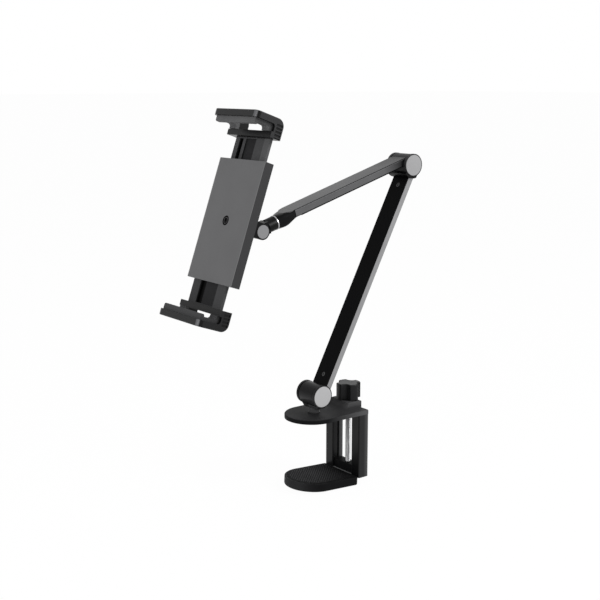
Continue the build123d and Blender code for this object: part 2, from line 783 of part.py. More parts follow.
with BuildPart() as ring:
    with BuildSketch(upper_cross.offset(nose_end)):
        with Locations((0, roll_offset)):
            Circle(ring_radius)
            Circle(roll_axle_radius + running_gap, mode=Mode.SUBTRACT)
    extrude(amount=ring_thickness)
    fillet(edges().filter_by(GeomType.CIRCLE).group_by(SortBy.RADIUS)[-1], ring_thickness / 5)
keep(ring, "wrist_ring")

# Wrist sleeve: its grooved axle turns in the nose, its tongue is the middle of the tilt hinge
with BuildPart() as sleeve:
    with BuildSketch(roll_cross.offset(-sleeve_length + running_gap)):
        Circle(sleeve_radius)
    extrude(amount=sleeve_length - running_gap - tongue_reach)
    with BuildSketch(wrist_side):
        Circle(wrist_radius - 0.2)
        with Locations((0, -tongue_reach / 2)):
            Rectangle(2 * sleeve_radius - 1.6, tongue_reach + 0.4)
    extrude(amount=wrist_eye_width / 2, both=True)
    with BuildSketch(wrist_side):
        Circle(wrist_pin_radius + running_gap)
    extrude(amount=wrist_width, both=True, mode=Mode.SUBTRACT)
    with BuildSketch(roll_cross.offset(-sleeve_length + running_gap)):
        Circle(roll_axle_radius)
    extrude(amount=-roll_axle_length)
    with BuildSketch(roll_cross.offset(set_screw_distance - upper_length - roll_groove_width / 2)):
        Circle(roll_axle_radius + running_gap)
        Circle(roll_axle_radius - roll_groove_depth, mode=Mode.SUBTRACT)
    extrude(amount=roll_groove_width, mode=Mode.SUBTRACT)
keep(sleeve, "wrist_sleeve")

hub_back = -holder_thickness - running_gap
with BuildPart() as bracket:
    with BuildSketch(front_face.offset(hub_back)):
        Circle(hub_radius)
    extrude(amount=-hub_thickness)
    with BuildSketch(holder_side.offset(-wrist_half)):
        with Locations(((hub_thickness / 2 - hub_back + bracket_reach) / 2, 0)):
            Rectangle(bracket_reach + hub_back - hub_thickness / 2, 2 * wrist_radius)
        with Locations((bracket_reach, 0)):
            Circle(wrist_radius)
    extrude(amount=wrist_width)
    with BuildSketch(holder_side):
        with Locations(((hub_thickness - hub_back + bracket_reach + 2 * wrist_radius) / 2 , 0)):
            Rectangle(bracket_reach + 2 * wrist_radius + hub_back - hub_thickness, 4 * wrist_radius)
    extrude(amount=wrist_half - wrist_ear_thickness, both=True, mode=Mode.SUBTRACT)
    with BuildSketch(holder_side.offset(-wrist_half)):
        with Locations((bracket_reach, 0)):
            Circle(wrist_pin_radius + seat_gap)
    extrude(amount=wrist_width, mode=Mode.SUBTRACT)
    for start in (wrist_half - wrist_cap_thickness + cap_proud, -wrist_half):
        with BuildSketch(holder_side.offset(start)):
            with Locations((bracket_reach, 0)):
                Circle(wrist_cap_radius + seat_gap)
        extrude(amount=wrist_cap_thickness - cap_proud, mode=Mode.SUBTRACT)
    with BuildSketch(front_face.offset(hub_back)):
        Circle(post_radius)
    extrude(amount=-hub_back - holder_skin - running_gap)
    with BuildSketch(front_face.offset(-holder_skin)):
        Circle(centre_screw_radius + seat_gap)
    extrude(amount=-holder_thickness, mode=Mode.SUBTRACT)
keep(bracket, "holder_bracket")

wrist_axis_side = Plane(origin=wrist, x_dir=holder_normal * -1, z_dir=(1, 0, 0))
keep(centred_pin(wrist_axis_side, wrist_pin_radius, wrist_half - wrist_cap_thickness + cap_proud - seat_gap),
     "wrist_pin")
keep(disc_pair(wrist_axis_side, wrist_half - wrist_cap_thickness + cap_proud, wrist_cap_thickness,
               wrist_cap_radius), "wrist_caps")

with BuildPart() as centre_screw:
    with BuildSketch(front_face.offset(-running_gap)):
        Circle(centre_head_radius)
    extrude(amount=-centre_head_height)
    with BuildSketch(front_face.offset(-running_gap)):
        Circle(centre_screw_radius)
    extrude(amount=-holder_thickness + free_gap)
keep(centre_screw, "centre_screw")

# Holder plate: front shell with slots at both ends, and the back cover inside its rim
screw_places = GridLocations(2 * holder_screw_x, 2 * holder_screw_u, 2, 2)
guide_inner = slider_half + slide_gap
with BuildPart() as front_shell:
    with BuildSketch(front_face):
        Rectangle(holder_width, holder_length)
    extrude(amount=-holder_thickness)
    fillet(edges().filter_by(Axis((0, 0, 0), tuple(holder_normal))), holder_edge_round)
    with BuildSketch(front_face.offset(-holder_skin)):
        Rectangle(holder_width - 2 * holder_wall, holder_length - 2 * holder_wall)
    extrude(amount=-holder_thickness, mode=Mode.SUBTRACT)
    with BuildSketch(front_face.offset(-holder_skin)):
        Rectangle(2 * guide_inner, 2 * holder_length)
    extrude(amount=back_inner + holder_skin, mode=Mode.SUBTRACT)
    with BuildSketch(front_face.offset(-holder_skin)):
        for x in (-guide_inner - holder_wall / 2, guide_inner + holder_wall / 2):
            with Locations((x, 0)):
                Rectangle(holder_wall, holder_length - 2 * holder_wall)
        with screw_places:
            Circle(screw_boss_radius)
    extrude(amount=back_inner + holder_skin)
    with BuildSketch(front_face.offset(back_inner)):
        with screw_places:
            Circle(holder_screw_radius + seat_gap)
    extrude(amount=-back_inner - 2 * holder_skin, mode=Mode.SUBTRACT)
    with BuildSketch(front_face):
        Circle(centre_head_radius + running_gap)
    extrude(amount=-centre_head_height - 2 * running_gap, mode=Mode.SUBTRACT)
    with BuildSketch(front_face):
        Circle(centre_screw_radius + running_gap)
    extrude(amount=-holder_skin, mode=Mode.SUBTRACT)
keep(front_shell, "holder_front_shell")

cover_width = holder_width - 2 * holder_wall - 2 * seat_gap
cover_length = holder_length - 2 * holder_wall - 2 * seat_gap
with BuildPart() as back_cover:
    with BuildSketch(front_face.offset(-holder_thickness)):
        Rectangle(cover_width, cover_length)
        Circle(post_radius + running_gap, mode=Mode.SUBTRACT)
        with screw_places:
            Circle(holder_screw_radius + seat_gap, mode=Mode.SUBTRACT)
    extrude(amount=back_thickness - seat_gap)
    with BuildSketch(front_face.offset(-holder_thickness)):
        with screw_places:
            Circle(holder_screw_head_radius + seat_gap)
    extrude(amount=holder_screw_head_height, mode=Mode.SUBTRACT)
keep(back_cover, "holder_back_cover")

with BuildPart() as holder_screws:
    with BuildSketch(front_face.offset(-holder_thickness)):
        with screw_places:
            Circle(holder_screw_head_radius)
    extrude(amount=holder_screw_head_height - seat_gap)
    with BuildSketch(front_face.offset(-holder_thickness)):
        with screw_places:
            Circle(holder_screw_radius)
    extrude(amount=holder_thickness - 2 * holder_skin - free_gap)
keep(holder_screws, "holder_cover_screws")

# Pinion round the post of the bracket: involute flanks worked out from the base circle
base_radius = pitch_radius * cos(radians(pressure_angle))
tip_radius = pitch_radius + gear_module - 2 * running_gap
root_radius = pitch_radius - 1.25 * gear_module
half_tooth = (pi * gear_module - backlash) / 4 / pitch_radius


def involute(roll_angle):
    """Angle swept on the base circle by an involute whose pressure angle is roll_angle, in radians."""
    return tan(roll_angle) - roll_angle


def flank_point(radius, side, centre_angle):
    """Point of a tooth flank at a radius; side is -1 or +1, centre_angle is the middle of the tooth."""
    angle = half_tooth + involute(radians(pressure_angle))
    if radius > base_radius:
        angle -= involute(acos(base_radius / radius))
    turn = centre_angle + side * angle
    return (radius * cos(turn), radius * sin(turn))


flank_radii = [root_radius - 0.3, base_radius]
flank_radii += [base_radius + (tip_radius - base_radius) * step / 4 for step in (1, 2, 3, 4)]
outline = []
for tooth in range(pinion_teeth):
    middle = 2 * pi * tooth / pinion_teeth
    outline += [flank_point(radius, -1, middle) for radius in flank_radii]
    outline += [flank_point(radius, 1, middle) for radius in reversed(flank_radii)]

with BuildPart() as pinion:
    with BuildSketch(front_face.offset(back_inner + slide_gap)):
        with BuildLine():
            Polyline(outline, close=True)
        make_face()
        Circle(root_radius)
        Circle(post_radius + running_gap, mode=Mode.SUBTRACT)
    extrude(amount=-back_inner - holder_skin - 2 * slide_gap)
keep(pinion, "rack_pinion")

# Sliders: one layer each, the upper one behind the lower one, with a rack on opposite sides of the pinion
rack_root = pitch_radius + 1.25 * gear_module
rack_tip = pitch_radius - 0.8 * gear_module
rack_pitch = pi * gear_module
half_gap = (rack_pitch - backlash) / 4
flank_slope = tan(radians(pressure_angle))


def rack_slider(end, layer_front, grooves):
    """Sliding plate; end is +1 for the upper one, grooves are (from, to, depth) of its long recesses."""
    side = end
    with BuildPart() as plate:
        with BuildSketch(front_face.offset(layer_front - layer_depth)):
            with Locations((0, end * (slider_inner_end + slider_end) / 2)):
                Rectangle(slider_width, slider_end - slider_inner_end)
            tongue_x = side * (rack_root + tongue_outer) / 2
            with Locations((tongue_x, end * (tongue_tip + slider_inner_end) / 2)):
                Rectangle(tongue_outer - rack_root, slider_inner_end - tongue_tip)
            for number in range(rack_teeth):
                centre = end * (number - rack_teeth // 2 + 0.5) * rack_pitch
                wide = half_gap + (rack_root - pitch_radius) * flank_slope
                slim = half_gap - (pitch_radius - rack_tip) * flank_slope
                with BuildLine():
                    Polyline((side * (rack_root + 0.01), centre - wide), (side * rack_tip, centre - slim),
                             (side * rack_tip, centre + slim), (side * (rack_root + 0.01), centre + wide),
                             close=True)
                make_face()
        extrude(amount=layer_depth)
        for start, stop, depth in grooves:
            with BuildSketch(front_face.offset(layer_front)):
                with Locations(((start + stop) / 2, end * (slider_inner_end + hook_leg_tip) / 2)):
                    Rectangle(stop - start, hook_leg_tip - slider_inner_end - 2)
            extrude(amount=-depth, mode=Mode.SUBTRACT)
        with BuildSketch(front_face.offset(layer_front - layer_depth)):
            with Locations((-jaw_screw_x, end * jaw_screw_u), (jaw_screw_x, end * jaw_screw_u)):
                Circle(jaw_screw_radius + seat_gap)
        extrude(amount=layer_depth, mode=Mode.SUBTRACT)
    return plate


def window_corner(edge):
    """True for the two edges where the window of a jaw or lining meets its front bar."""
    place = front_face.to_local_coords(edge.center())
    return abs(abs(place.X) - window_width / 2) < 0.01 and abs(place.Z - window_front) < 0.01


def lip_corner(edge, end):
    """True for the two outer corners of the free edge of a lining's lip."""
    place = front_face.to_local_coords(edge.center())
    return abs(abs(place.X) - liner_half) < 0.01 and abs(place.Y - end * liner_lip) < 0.01


def hook_jaw(end, layer_front):
    """Jaw with a hooked, open top: front bar, two side arms, two legs and the bar that holds the slider."""
    with BuildPart() as jaw:
        with BuildSketch(holder_side.offset(-hook_width / 2)):
            with BuildLine():
                Polyline(
                    (-hook_front, end * hook_outer), (-hook_rear, end * hook_outer),
                    (-hook_rear, end * hook_leg_tip), (-crossbar_front, end * hook_leg_tip),
                    (-crossbar_front, end * crossbar_inner), (-hook_leg_front, end * crossbar_inner),
                    (-hook_leg_front, end * hook_floor), (-hook_front, end * hook_floor), close=True)
            make_face()
            fillet(vertices().sort_by_distance((-hook_rear, end * hook_outer, 0))[0], hook_rear_round)
            fillet(vertices().sort_by_distance((-hook_leg_front, end * hook_floor, 0))[0], hook_inner_round)
        extrude(amount=hook_width)
        front_edges = edges().filter_by(lambda edge: abs(front_face.to_local_coords(edge.center()).Z
                                                         - hook_front) < 0.01)
        fillet(front_edges.filter_by(lambda edge: edge.length < hook_width / 2), hook_corner_round)
        outer_face = faces().sort_by(Axis((0, 0, 0), tuple(holder_up * end)))[-1]
        fillet(outer_face.edges().sort_by(Axis((0, 0, 0), tuple(holder_normal)))[1:], hook_edge_round)
        with BuildSketch(front_face.offset(-2 * hook_front)):
            with Locations((0, end * (crossbar_inner + hook_outer))):
                Rectangle(window_width, 2 * hook_outer)
        extrude(amount=2 * hook_front + window_front, mode=Mode.SUBTRACT)
        fillet(edges().filter_by(window_corner), window_round)
        with BuildSketch(front_face.offset(layer_front - layer_depth - seat_gap)):
            with Locations((0, end * (hook_leg_tip + slider_end) / 2)):
                Rectangle(slider_width + 2 * seat_gap, slider_end - hook_leg_tip + 2 * seat_gap)
        extrude(amount=layer_depth + 2 * seat_gap, mode=Mode.SUBTRACT)
        with BuildSketch(front_face.offset(hook_rear)):
            with Locations((-jaw_screw_x, end * jaw_screw_u), (jaw_screw_x, end * jaw_screw_u)):
                Circle(jaw_screw_head_radius + seat_gap)
        extrude(amount=jaw_screw_head_height, mode=Mode.SUBTRACT)
        with BuildSketch(front_face.offset(hook_rear)):
            with Locations((-jaw_screw_x, end * jaw_screw_u), (jaw_screw_x, end * jaw_screw_u)):
                Circle(jaw_screw_radius + seat_gap)
        extrude(amount=layer_front - hook_rear, mode=Mode.SUBTRACT)
        for side in (-1, 1):
            with BuildSketch(holder_side.offset(side * (hook_width / 2 - rib_depth))):
                for number in range(rib_count + 1):
                    place = end * (rib_start + (number - 0.5) * rib_pitch)
                    with Locations(((-hook_rear - hook_leg_front) / 2, place)):
                        Rectangle(rib_length, rib_pitch - rib_width)
            extrude(amount=side * 2 * rib_depth, mode=Mode.SUBTRACT)
    return jaw


def jaw_liner(end):
    """Soft lining of a jaw: lip behind the front bar, two bands under the side arms and down the legs."""
    with BuildPart() as liner:
        with BuildSketch(holder_side.offset(-liner_half)):
            with BuildLine():
                Polyline(
                    (-liner_front, end * hook_floor), (-liner_front, end * liner_lip),
                    (-liner_lip_back, end * liner_lip), (-liner_lip_back, end * liner_floor),
                    (-liner_rear_face, end * liner_floor), (-liner_rear_face, end * crossbar_inner),
                    (-hook_leg_front, end * crossbar_inner), (-hook_leg_front, end * hook_floor), close=True)
            make_face()
            inner_corner = vertices().sort_by_distance((-liner_rear_face, end * liner_floor, 0))[0]
            fillet(inner_corner, hook_inner_round)
            outer_corner = vertices().sort_by_distance((-hook_leg_front, end * hook_floor, 0))[0]
            fillet(outer_corner, hook_inner_round)
        extrude(amount=2 * liner_half)
        fillet(edges().filter_by(lambda edge: lip_corner(edge, end)), liner_lip_round)
        with BuildSketch(front_face):
            with Locations((0, end * hook_outer)):
                Rectangle(window_width, 2 * hook_outer)
        extrude(amount=window_front, both=True, mode=Mode.SUBTRACT)
        fillet(edges().filter_by(window_corner), window_round)
    return liner


def jaw_screws(end, layer_front):
    """Two screws that hold a jaw on its slider, put in from behind."""
    with BuildPart() as screws:
        with BuildSketch(front_face.offset(hook_rear + seat_gap)):
            with Locations((-jaw_screw_x, end * jaw_screw_u), (jaw_screw_x, end * jaw_screw_u)):
                Circle(jaw_screw_head_radius)
        extrude(amount=jaw_screw_head_height - seat_gap)
        with BuildSketch(front_face.offset(hook_rear + seat_gap)):
            with Locations((-jaw_screw_x, end * jaw_screw_u), (jaw_screw_x, end * jaw_screw_u)):
                Circle(jaw_screw_radius)
        extrude(amount=layer_front - hook_rear - 2 * seat_gap)
    return screws


keep(rack_slider(1, rear_layer, top_grooves), "top_slider")
keep(hook_jaw(1, rear_layer), "top_jaw")
keep(jaw_liner(1), "top_jaw_liner")
keep(jaw_screws(1, rear_layer), "top_jaw_screws")
keep(rack_slider(-1, front_layer, bottom_grooves), "bottom_slider")
keep(hook_jaw(-1, front_layer), "bottom_jaw")
keep(jaw_liner(-1), "bottom_jaw_liner")
keep(jaw_screws(-1, front_layer), "bottom_jaw_screws")
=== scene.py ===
import json
from math import cos, pi, radians, sin

import bmesh
import bpy
from mathutils import Matrix, Vector


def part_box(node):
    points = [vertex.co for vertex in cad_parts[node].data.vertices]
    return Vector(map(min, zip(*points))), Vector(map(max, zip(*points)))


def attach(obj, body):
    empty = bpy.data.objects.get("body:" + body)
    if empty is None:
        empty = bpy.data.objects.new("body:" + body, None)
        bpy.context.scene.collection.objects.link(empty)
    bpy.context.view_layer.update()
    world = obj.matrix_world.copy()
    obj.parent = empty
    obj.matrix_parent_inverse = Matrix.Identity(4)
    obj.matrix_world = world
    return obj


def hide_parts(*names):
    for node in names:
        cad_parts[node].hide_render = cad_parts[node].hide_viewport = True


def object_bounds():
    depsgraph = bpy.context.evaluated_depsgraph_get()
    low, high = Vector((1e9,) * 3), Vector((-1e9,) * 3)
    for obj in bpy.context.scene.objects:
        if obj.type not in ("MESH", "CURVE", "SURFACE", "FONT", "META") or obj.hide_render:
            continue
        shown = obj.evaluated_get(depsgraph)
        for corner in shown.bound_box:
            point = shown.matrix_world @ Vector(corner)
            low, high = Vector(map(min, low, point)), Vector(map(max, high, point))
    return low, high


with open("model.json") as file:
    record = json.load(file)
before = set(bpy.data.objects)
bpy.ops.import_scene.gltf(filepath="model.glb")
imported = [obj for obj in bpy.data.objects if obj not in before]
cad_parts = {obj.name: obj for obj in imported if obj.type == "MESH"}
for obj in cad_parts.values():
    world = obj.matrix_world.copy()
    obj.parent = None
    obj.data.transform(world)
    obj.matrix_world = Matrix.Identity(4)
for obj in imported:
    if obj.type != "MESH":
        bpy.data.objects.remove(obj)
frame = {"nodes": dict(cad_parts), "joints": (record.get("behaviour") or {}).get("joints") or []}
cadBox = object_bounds()
nodes = frame["nodes"]
scene = bpy.context.scene
# Directions as seen from the front of the stand, which is along -Y
right, rear = Vector((1, 0, 0)), Vector((0, 1, 0))
up, down = Vector((0, 0, 1)), Vector((0, 0, -1))
weldGap = 1e-6  # points of a CAD mesh closer than this are one point
# Places and directions of the hinges, in metres
joints = {joint["name"]: joint for joint in frame["joints"]}
shoulder = Vector(joints["shoulder_tilt"]["pos_m"])
elbow = Vector(joints["elbow_fold"]["pos_m"])
wrist = Vector(joints["wrist_tilt"]["pos_m"])
holderCentre = Vector(joints["holder_spin"]["pos_m"])
holderNormal = Vector(joints["holder_spin"]["axis"])  # out of the front of the holder plate
lowerArmAxis = (elbow - shoulder).normalized()
lowerArmFront = right.cross(lowerArmAxis)
upperArmAxis = Vector(joints["wrist_roll"]["axis"])  # from the elbow to the wrist
upperArmTop = upperArmAxis.cross(right)
print("stage: frame loaded")


# A hex colour as a screen shows it, turned to linear values
def linear(code):
    parts = [int(code[start:start + 2], 16) / 255 for start in (1, 3, 5)]
    return [part / 12.92 if part <= 0.04045 else ((part + 0.055) / 1.055) ** 2.4 for part in parts] + [1.0]


# An input is a value, a socket, or a node, which gives its first output
def addNode(tree, kind, inputs=None, **settings):
    node = tree.nodes.new(kind)
    for key, value in settings.items():
        setattr(node, key, value)
    for key, value in (inputs or {}).items():
        source = value.outputs[0] if isinstance(value, bpy.types.Node) else value
        if isinstance(source, bpy.types.NodeSocket):
            tree.links.new(source, node.inputs[key])
        else:
            node.inputs[key].default_value = source
    return node


def newMaterial(name):
    material = bpy.data.materials.new(name)
    material.use_nodes = True
    material.node_tree.nodes.clear()
    return material, material.node_tree


# A zone paints one place of a body another tone. The tone comes in between two distances from the centre,
# start and stop, measured along aim in metres.
def zone(place, tone, aim, start, stop, centre=(0, 0, 0)):
    return {
        "place": place, "tone": tone, "aim": tuple(aim), "start": start, "stop": stop,
        "centre": tuple(centre)}


# The same tone on both flanks of a node, coming in between two depths under its widest points
def flanks(node, tone, deep, shallow):
    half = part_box(node)[1].x
    return [zone("flank", tone, right * side, half - deep, half - shallow) for side in (1, -1)]


def paintZones(tree, coords, colour, zones):
    for spot in zones:
        moved = addNode(tree, "ShaderNodeVectorMath", {0: coords, 1: spot["centre"]}, operation="SUBTRACT")
        along = addNode(tree, "ShaderNodeVectorMath", {0: moved, 1: spot["aim"]}, operation="DOT_PRODUCT")
        band = addNode(tree, "ShaderNodeMapRange", {
            "Value": along.outputs["Value"], "From Min": spot["start"], "From Max": spot["stop"]})
        colour = addNode(tree, "ShaderNodeMix", {
            0: band, 6: colour, 7: linear(spot["tone"])}, data_type="RGBA", label=spot["place"]).outputs[2]
    return colour


# What every grain and every brushing starts from. A finish's own values go over these. Patches are broad,
# faint changes of gloss and tone, about 29 and 45 mm across, given in patches per metre.
grainBase = {
    "metallic": 0.0, "specular": 0.1, "relief": 0.6, "detail": 3.0, "toneRange": (0.1, 0.4),
    "patches": 35.0, "patchDetail": 2.0, "patchRange": (0.3, 0.7), "glossier": 0.05, "duller": 0.05}
brushBase = {
    "metallic": 0.9, "specular": 0.5, "relief": 0.5, "detail": 4.0,
    "patches": 22.0, "patchDetail": 1.0, "patchRange": (0.3, 0.7), "glossier": 0.04, "duller": 0.05}


# The end of every finish: two tones mixed by share, the painted zones, patchy gloss and the pattern's relief
def finishSurface(tree, coords, share, pattern, patches, look, zones):
    tones = addNode(tree, "ShaderNodeMix", {
        0: share, 6: linear(look["low"]), 7: linear(look["high"])}, data_type="RGBA")
    rough = addNode(tree, "ShaderNodeMapRange", {
        "Value": patches, "From Min": look["patchRange"][0], "From Max": look["patchRange"][1],
        "To Min": look["rough"] - look["glossier"], "To Max": look["rough"] + look["duller"]})
    relief = addNode(tree, "ShaderNodeBump", {
        "Height": pattern, "Distance": look["bump"], "Strength": look["relief"]})
    shader = addNode(tree, "ShaderNodeBsdfPrincipled", {
        "Base Color": paintZones(tree, coords, tones.outputs[2], zones), "Roughness": rough,
        "Metallic": look["metallic"], "Specular IOR Level": look["specular"], "Normal": relief})
    addNode(tree, "ShaderNodeOutputMaterial", {"Surface": shader})


# Cast, moulded and coated surfaces. A grain is given by its size in metres. The real grain of anodised, oxide
# and moulded skins is finer, and it is drawn as coarse as it needs to show.
def grained(name, ownLook, zones=()):
    look = {**grainBase, **ownLook}
    material, tree = newMaterial(name)
    coords = addNode(tree, "ShaderNodeTexCoord").outputs["Object"]
    grain = addNode(tree, "ShaderNodeTexNoise", {
        "Vector": coords, "Scale": 1 / look["grain"], "Detail": look["detail"]})
    patches = addNode(tree, "ShaderNodeTexNoise", {
        "Vector": coords, "Scale": look["patches"], "Detail": look["patchDetail"]})
    both = addNode(tree, "ShaderNodeMath", {0: grain, 1: patches}, operation="MULTIPLY")
    share = addNode(tree, "ShaderNodeMapRange", {
        "Value": both, "From Min": look["toneRange"][0], "From Max": look["toneRange"][1]})
    finishSurface(tree, coords, share, grain, patches, look, zones)
    return material


# Drawn, brushed and turned metal. Its lines per metre are given along X, Y and Z, and lie across the axis
# that has the most. With ringCentre they are rings round an axis along X through that point.
def brushed(name, ownLook, zones=(), ringCentre=None):
    look = {**brushBase, **ownLook}
    material, tree = newMaterial(name)
    coords = addNode(tree, "ShaderNodeTexCoord").outputs["Object"]
    across = coords
    if ringCentre is not None:
        moved = addNode(tree, "ShaderNodeVectorMath", {0: coords, 1: tuple(ringCentre)}, operation="SUBTRACT")
        flat = addNode(tree, "ShaderNodeVectorMath", {0: moved, 1: (0, 1, 1)}, operation="MULTIPLY")
        radius = addNode(tree, "ShaderNodeVectorMath", {0: flat}, operation="LENGTH")
        across = addNode(tree, "ShaderNodeCombineXYZ", {0: radius.outputs["Value"]})
    scaled = addNode(tree, "ShaderNodeVectorMath", {0: across, 1: look["lines"]}, operation="MULTIPLY")
    lines = addNode(tree, "ShaderNodeTexNoise", {"Vector": scaled, "Scale": 1.0, "Detail": look["detail"]})
    patches = addNode(tree, "ShaderNodeTexNoise", {
        "Vector": coords, "Scale": look["patches"], "Detail": look["patchDetail"]})
    finishSurface(tree, coords, lines, lines, patches, look, zones)
    return material


# Die-cast aluminium under black powder coat: matt, with an orange-peel grain of 0.4 mm. On the top plate,
# painted light makes it lighter at its rear and on its boss, a painted highlight runs along its right edge,
# and painted shade darkens it below its top.
powderCoat = {
    "low": "#1C1C1D", "high": "#29292A", "rough": 0.55, "grain": 0.0004, "bump": 0.00003, "specular": 0.05}
plateTop = (0, 0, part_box("swivel_washer")[0].z)
topPlateLightAndShade = [
    # Painted light at the rear and on the boss, painted shade under the top, a painted highlight on the right
    # edge
    zone("rear", "#353536", rear, 0.012, 0.036),
    zone("under the top", "#0D0D0E", down, 0.0006, 0.0012, plateTop),
    zone("boss", "#434344", up, 0.001, 0.003, plateTop),
    zone("right edge", "#4A4A4B", (1, 0.05, 0), 0.0250, 0.0272)]
plateCast = grained("powder_coated_top_plate", powderCoat, topPlateLightAndShade)
# The lower jaw has painted shade to the right, where the column shades it, and a painted highlight along
# its rear edge where it runs past the rails, with a painted shadow just behind it
lowerJawLightAndShade = [
    zone("right", "#0C0C0D", right, 0.012, 0.024),
    zone("painted highlight edge", "#7A7A7B", rear, 0.0362, 0.0364),
    zone("behind the edge", "#0C0C0D", rear, 0.0380, 0.0382)]
jawCast = grained("powder_coated_lower_jaw", powderCoat, lowerJawLightAndShade)
# Extruded aluminium rails with a thinner and darker coat, glossier than the plate's. Painted shade makes the
# right one nearly black, a painted highlight greys its outer corner, and both have a painted highlight along
# their rear edge.
railLook = {
    "low": "#0F0F10", "high": "#19191A", "rough": 0.36, "grain": 0.0004, "bump": 0.00002, "specular": 0.15}
railLightAndShade = [
    zone("right rail", "#060607", right, 0.0135, 0.015),
    zone("outer corner", "#1C1C1D", right, 0.0246, 0.0249),
    zone("rear edge", "#4A4A4B", rear, 0.0425, 0.0490)]
railCoat = grained("powder_coated_rail", railLook, railLightAndShade)
# Black anodised aluminium: satin, with a soft metallic edge. Round the shoulder a painted reflection of the
# floor makes it lighter below and in front. The yoke's foot is painted grey, as painted light that lifts it
# out of the barrel's shade, and painted shade darkens its left.
barrelLook = {
    "low": "#0A0A0B", "high": "#101011", "rough": 0.32, "grain": 0.0003, "bump": 0.00001, "metallic": 0.15}
barrelCoat = grained("black_anodised_barrel", barrelLook)
shoulderFloorReflection = [zone("underside", "#2C2C2D", (0, -0.6, -0.8), 0.003, 0.0095, shoulder)]
knuckleCoat = grained("black_anodised_knuckle", barrelLook, shoulderFloorReflection)
yokeLook = {
    "low": "#101011", "high": "#171718", "rough": 0.4, "grain": 0.0003, "bump": 0.00001, "metallic": 0.1}
footTop = (0, 0, 0.0098)
yokeLightAndShade = shoulderFloorReflection + [
    # Painted light on the foot, out of the barrel's shade, and painted shade on the left
    zone("foot", "#484849", down, 0.0, 0.0006, footTop),
    zone("left", "#050506", -right, 0.001, 0.004)]
yokeCoat = grained("black_anodised_yoke", yokeLook, yokeLightAndShade)
# Grey anodised barrel of the elbow: duller than the black ones, with painted shade on its underside
elbowLook = {
    "low": "#262627", "high": "#2E2E2F", "rough": 0.42, "grain": 0.0003, "bump": 0.00001, "metallic": 0.05}
elbowUndersideShade = [zone("underside", "#070708", -lowerArmAxis, 0.003, 0.008, elbow)]
elbowCoat = grained("grey_anodised_barrel", elbowLook, elbowUndersideShade)
# Satin anodised strips that close the two channels: black, with hardly a shine
stripLook = {
    "low": "#080809", "high": "#0C0C0D", "rough": 0.4, "grain": 0.0005, "bump": 0.00001, "specular": 0.02}
stripCoat = grained("satin_black_strip", stripLook)
# Moulded nitrile rubber: dull, with a fine sandy skin. The studs are painted greyer than the pad under them,
# as painted light where they catch the lamps. Painted shade darkens both to the rear right, in the column's
# shade.
rubberLook = {
    "low": "#0E0E0F", "high": "#181819", "rough": 0.8, "grain": 0.0005, "bump": 0.00005, "specular": 0.08}
litStudLook = {"low": "#2E2E2F", "high": "#3A3A3B", "rough": 0.75, "grain": 0.0005, "bump": 0.00003}
padRearShade = [zone("rear right", "#070708", (0.6, 1, 0), 0.002, 0.036)]
rubber = grained("moulded_black_rubber", rubberLook, padRearShade)
litStudRubber = grained("rubber_studs", litStudLook, padRearShade)
# Moulded silicone linings: soft and without shine. Each jaw's lining has its own grey as painted light and
# shade, lighter on the top jaw, and painted shade darkens their flanks
siliconeBase = {"rough": 0.6, "grain": 0.0006, "bump": 0.00003, "specular": 0.15}
liningLitAndShadedLook = {
    "top": {"low": "#4D4D4E", "high": "#585859", "flank": "#3C3C3D"},
    "bottom": {"low": "#333334", "high": "#3D3D3E", "flank": "#2E2E2F"}}
silicone = {
    end: grained(
        end + "_grey_silicone", {**siliconeBase, **look},
        flanks(end + "_jaw_liner", look["flank"], deep=0.0004, shallow=0.0002))
    for end, look in liningLitAndShadedLook.items()}
# Moulded ABS of the knob: half gloss, with a fine spark-eroded texture
knobLook = {
    "low": "#111112", "high": "#19191A", "rough": 0.3, "grain": 0.0005, "bump": 0.00002, "specular": 0.13}
knobPlastic = grained("moulded_abs", knobLook)
# Moulded nylon of washers and gears: smooth and slightly waxy. The washer of the swivel is painted grey, as
# painted light that lifts it out of the barrel's shade.
nylonLook = {"low": "#121213", "high": "#1A1A1B", "rough": 0.45, "grain": 0.0008, "bump": 0.00001}
nylon = grained("black_nylon", nylonLook)
swivelNylonLightened = grained("nylon_washer_painted_light", {**nylonLook, "low": "#333334", "high": "#3E3E3F"})

# Glass-filled nylon of the jaws: pitted by the mould. Each jaw's bar and flanks have their own tone, painted
# light and shade for how the light falls on that jaw, and its rounded corners have a painted highlight band
# with a painted shade band beyond it. A band turns by its share from the front to the side, and comes in
# between two depths under the corner.
jawBase = {
    "low": "#0B0B0C", "high": "#161617", "rough": 0.3, "grain": 0.0008, "bump": 0.00003, "specular": 0.16}
jawLitAndShadedTones = {
    "top": {"bar": "#0A0A0B", "flank": "#272728"},
    "bottom": {"bar": "#060607", "flank": "#161617"}}
jawBar = {"front": 0.008, "fade": 0.0005}
cornerHighlightAndShade = {
    "shine": {"tone": "#58585A", "share": 0.35, "deep": 0.0007, "shallow": 0.0002},
    "shade": {"tone": "#030303", "share": 0.72, "deep": 0.0004, "shallow": 0.00015}}


def jawLightAndShade(jaw, look):
    front = jawBar["front"]
    tones = [zone("bar", look["bar"], -holderNormal, -front, jawBar["fade"] - front, holderCentre)]
    tones += flanks(jaw, look["flank"], deep=0.0004, shallow=0.0002)
    for side in (1, -1):
        for place, band in cornerHighlightAndShade.items():
            aim = (holderNormal * (1 - band["share"]) + right * side * band["share"]).normalized()
            reach = max((vert.co - holderCentre).dot(aim) for vert in nodes[jaw].data.vertices)
            start, stop = reach - band["deep"], reach - band["shallow"]
            tones.append(zone(place, band["tone"], aim, start, stop, holderCentre))
    return tones


jawNylon = {
    end: grained(end + "_jaw_nylon", jawBase, jawLightAndShade(end + "_jaw", look)) for end, look in jawLitAndShadedTones.items()}
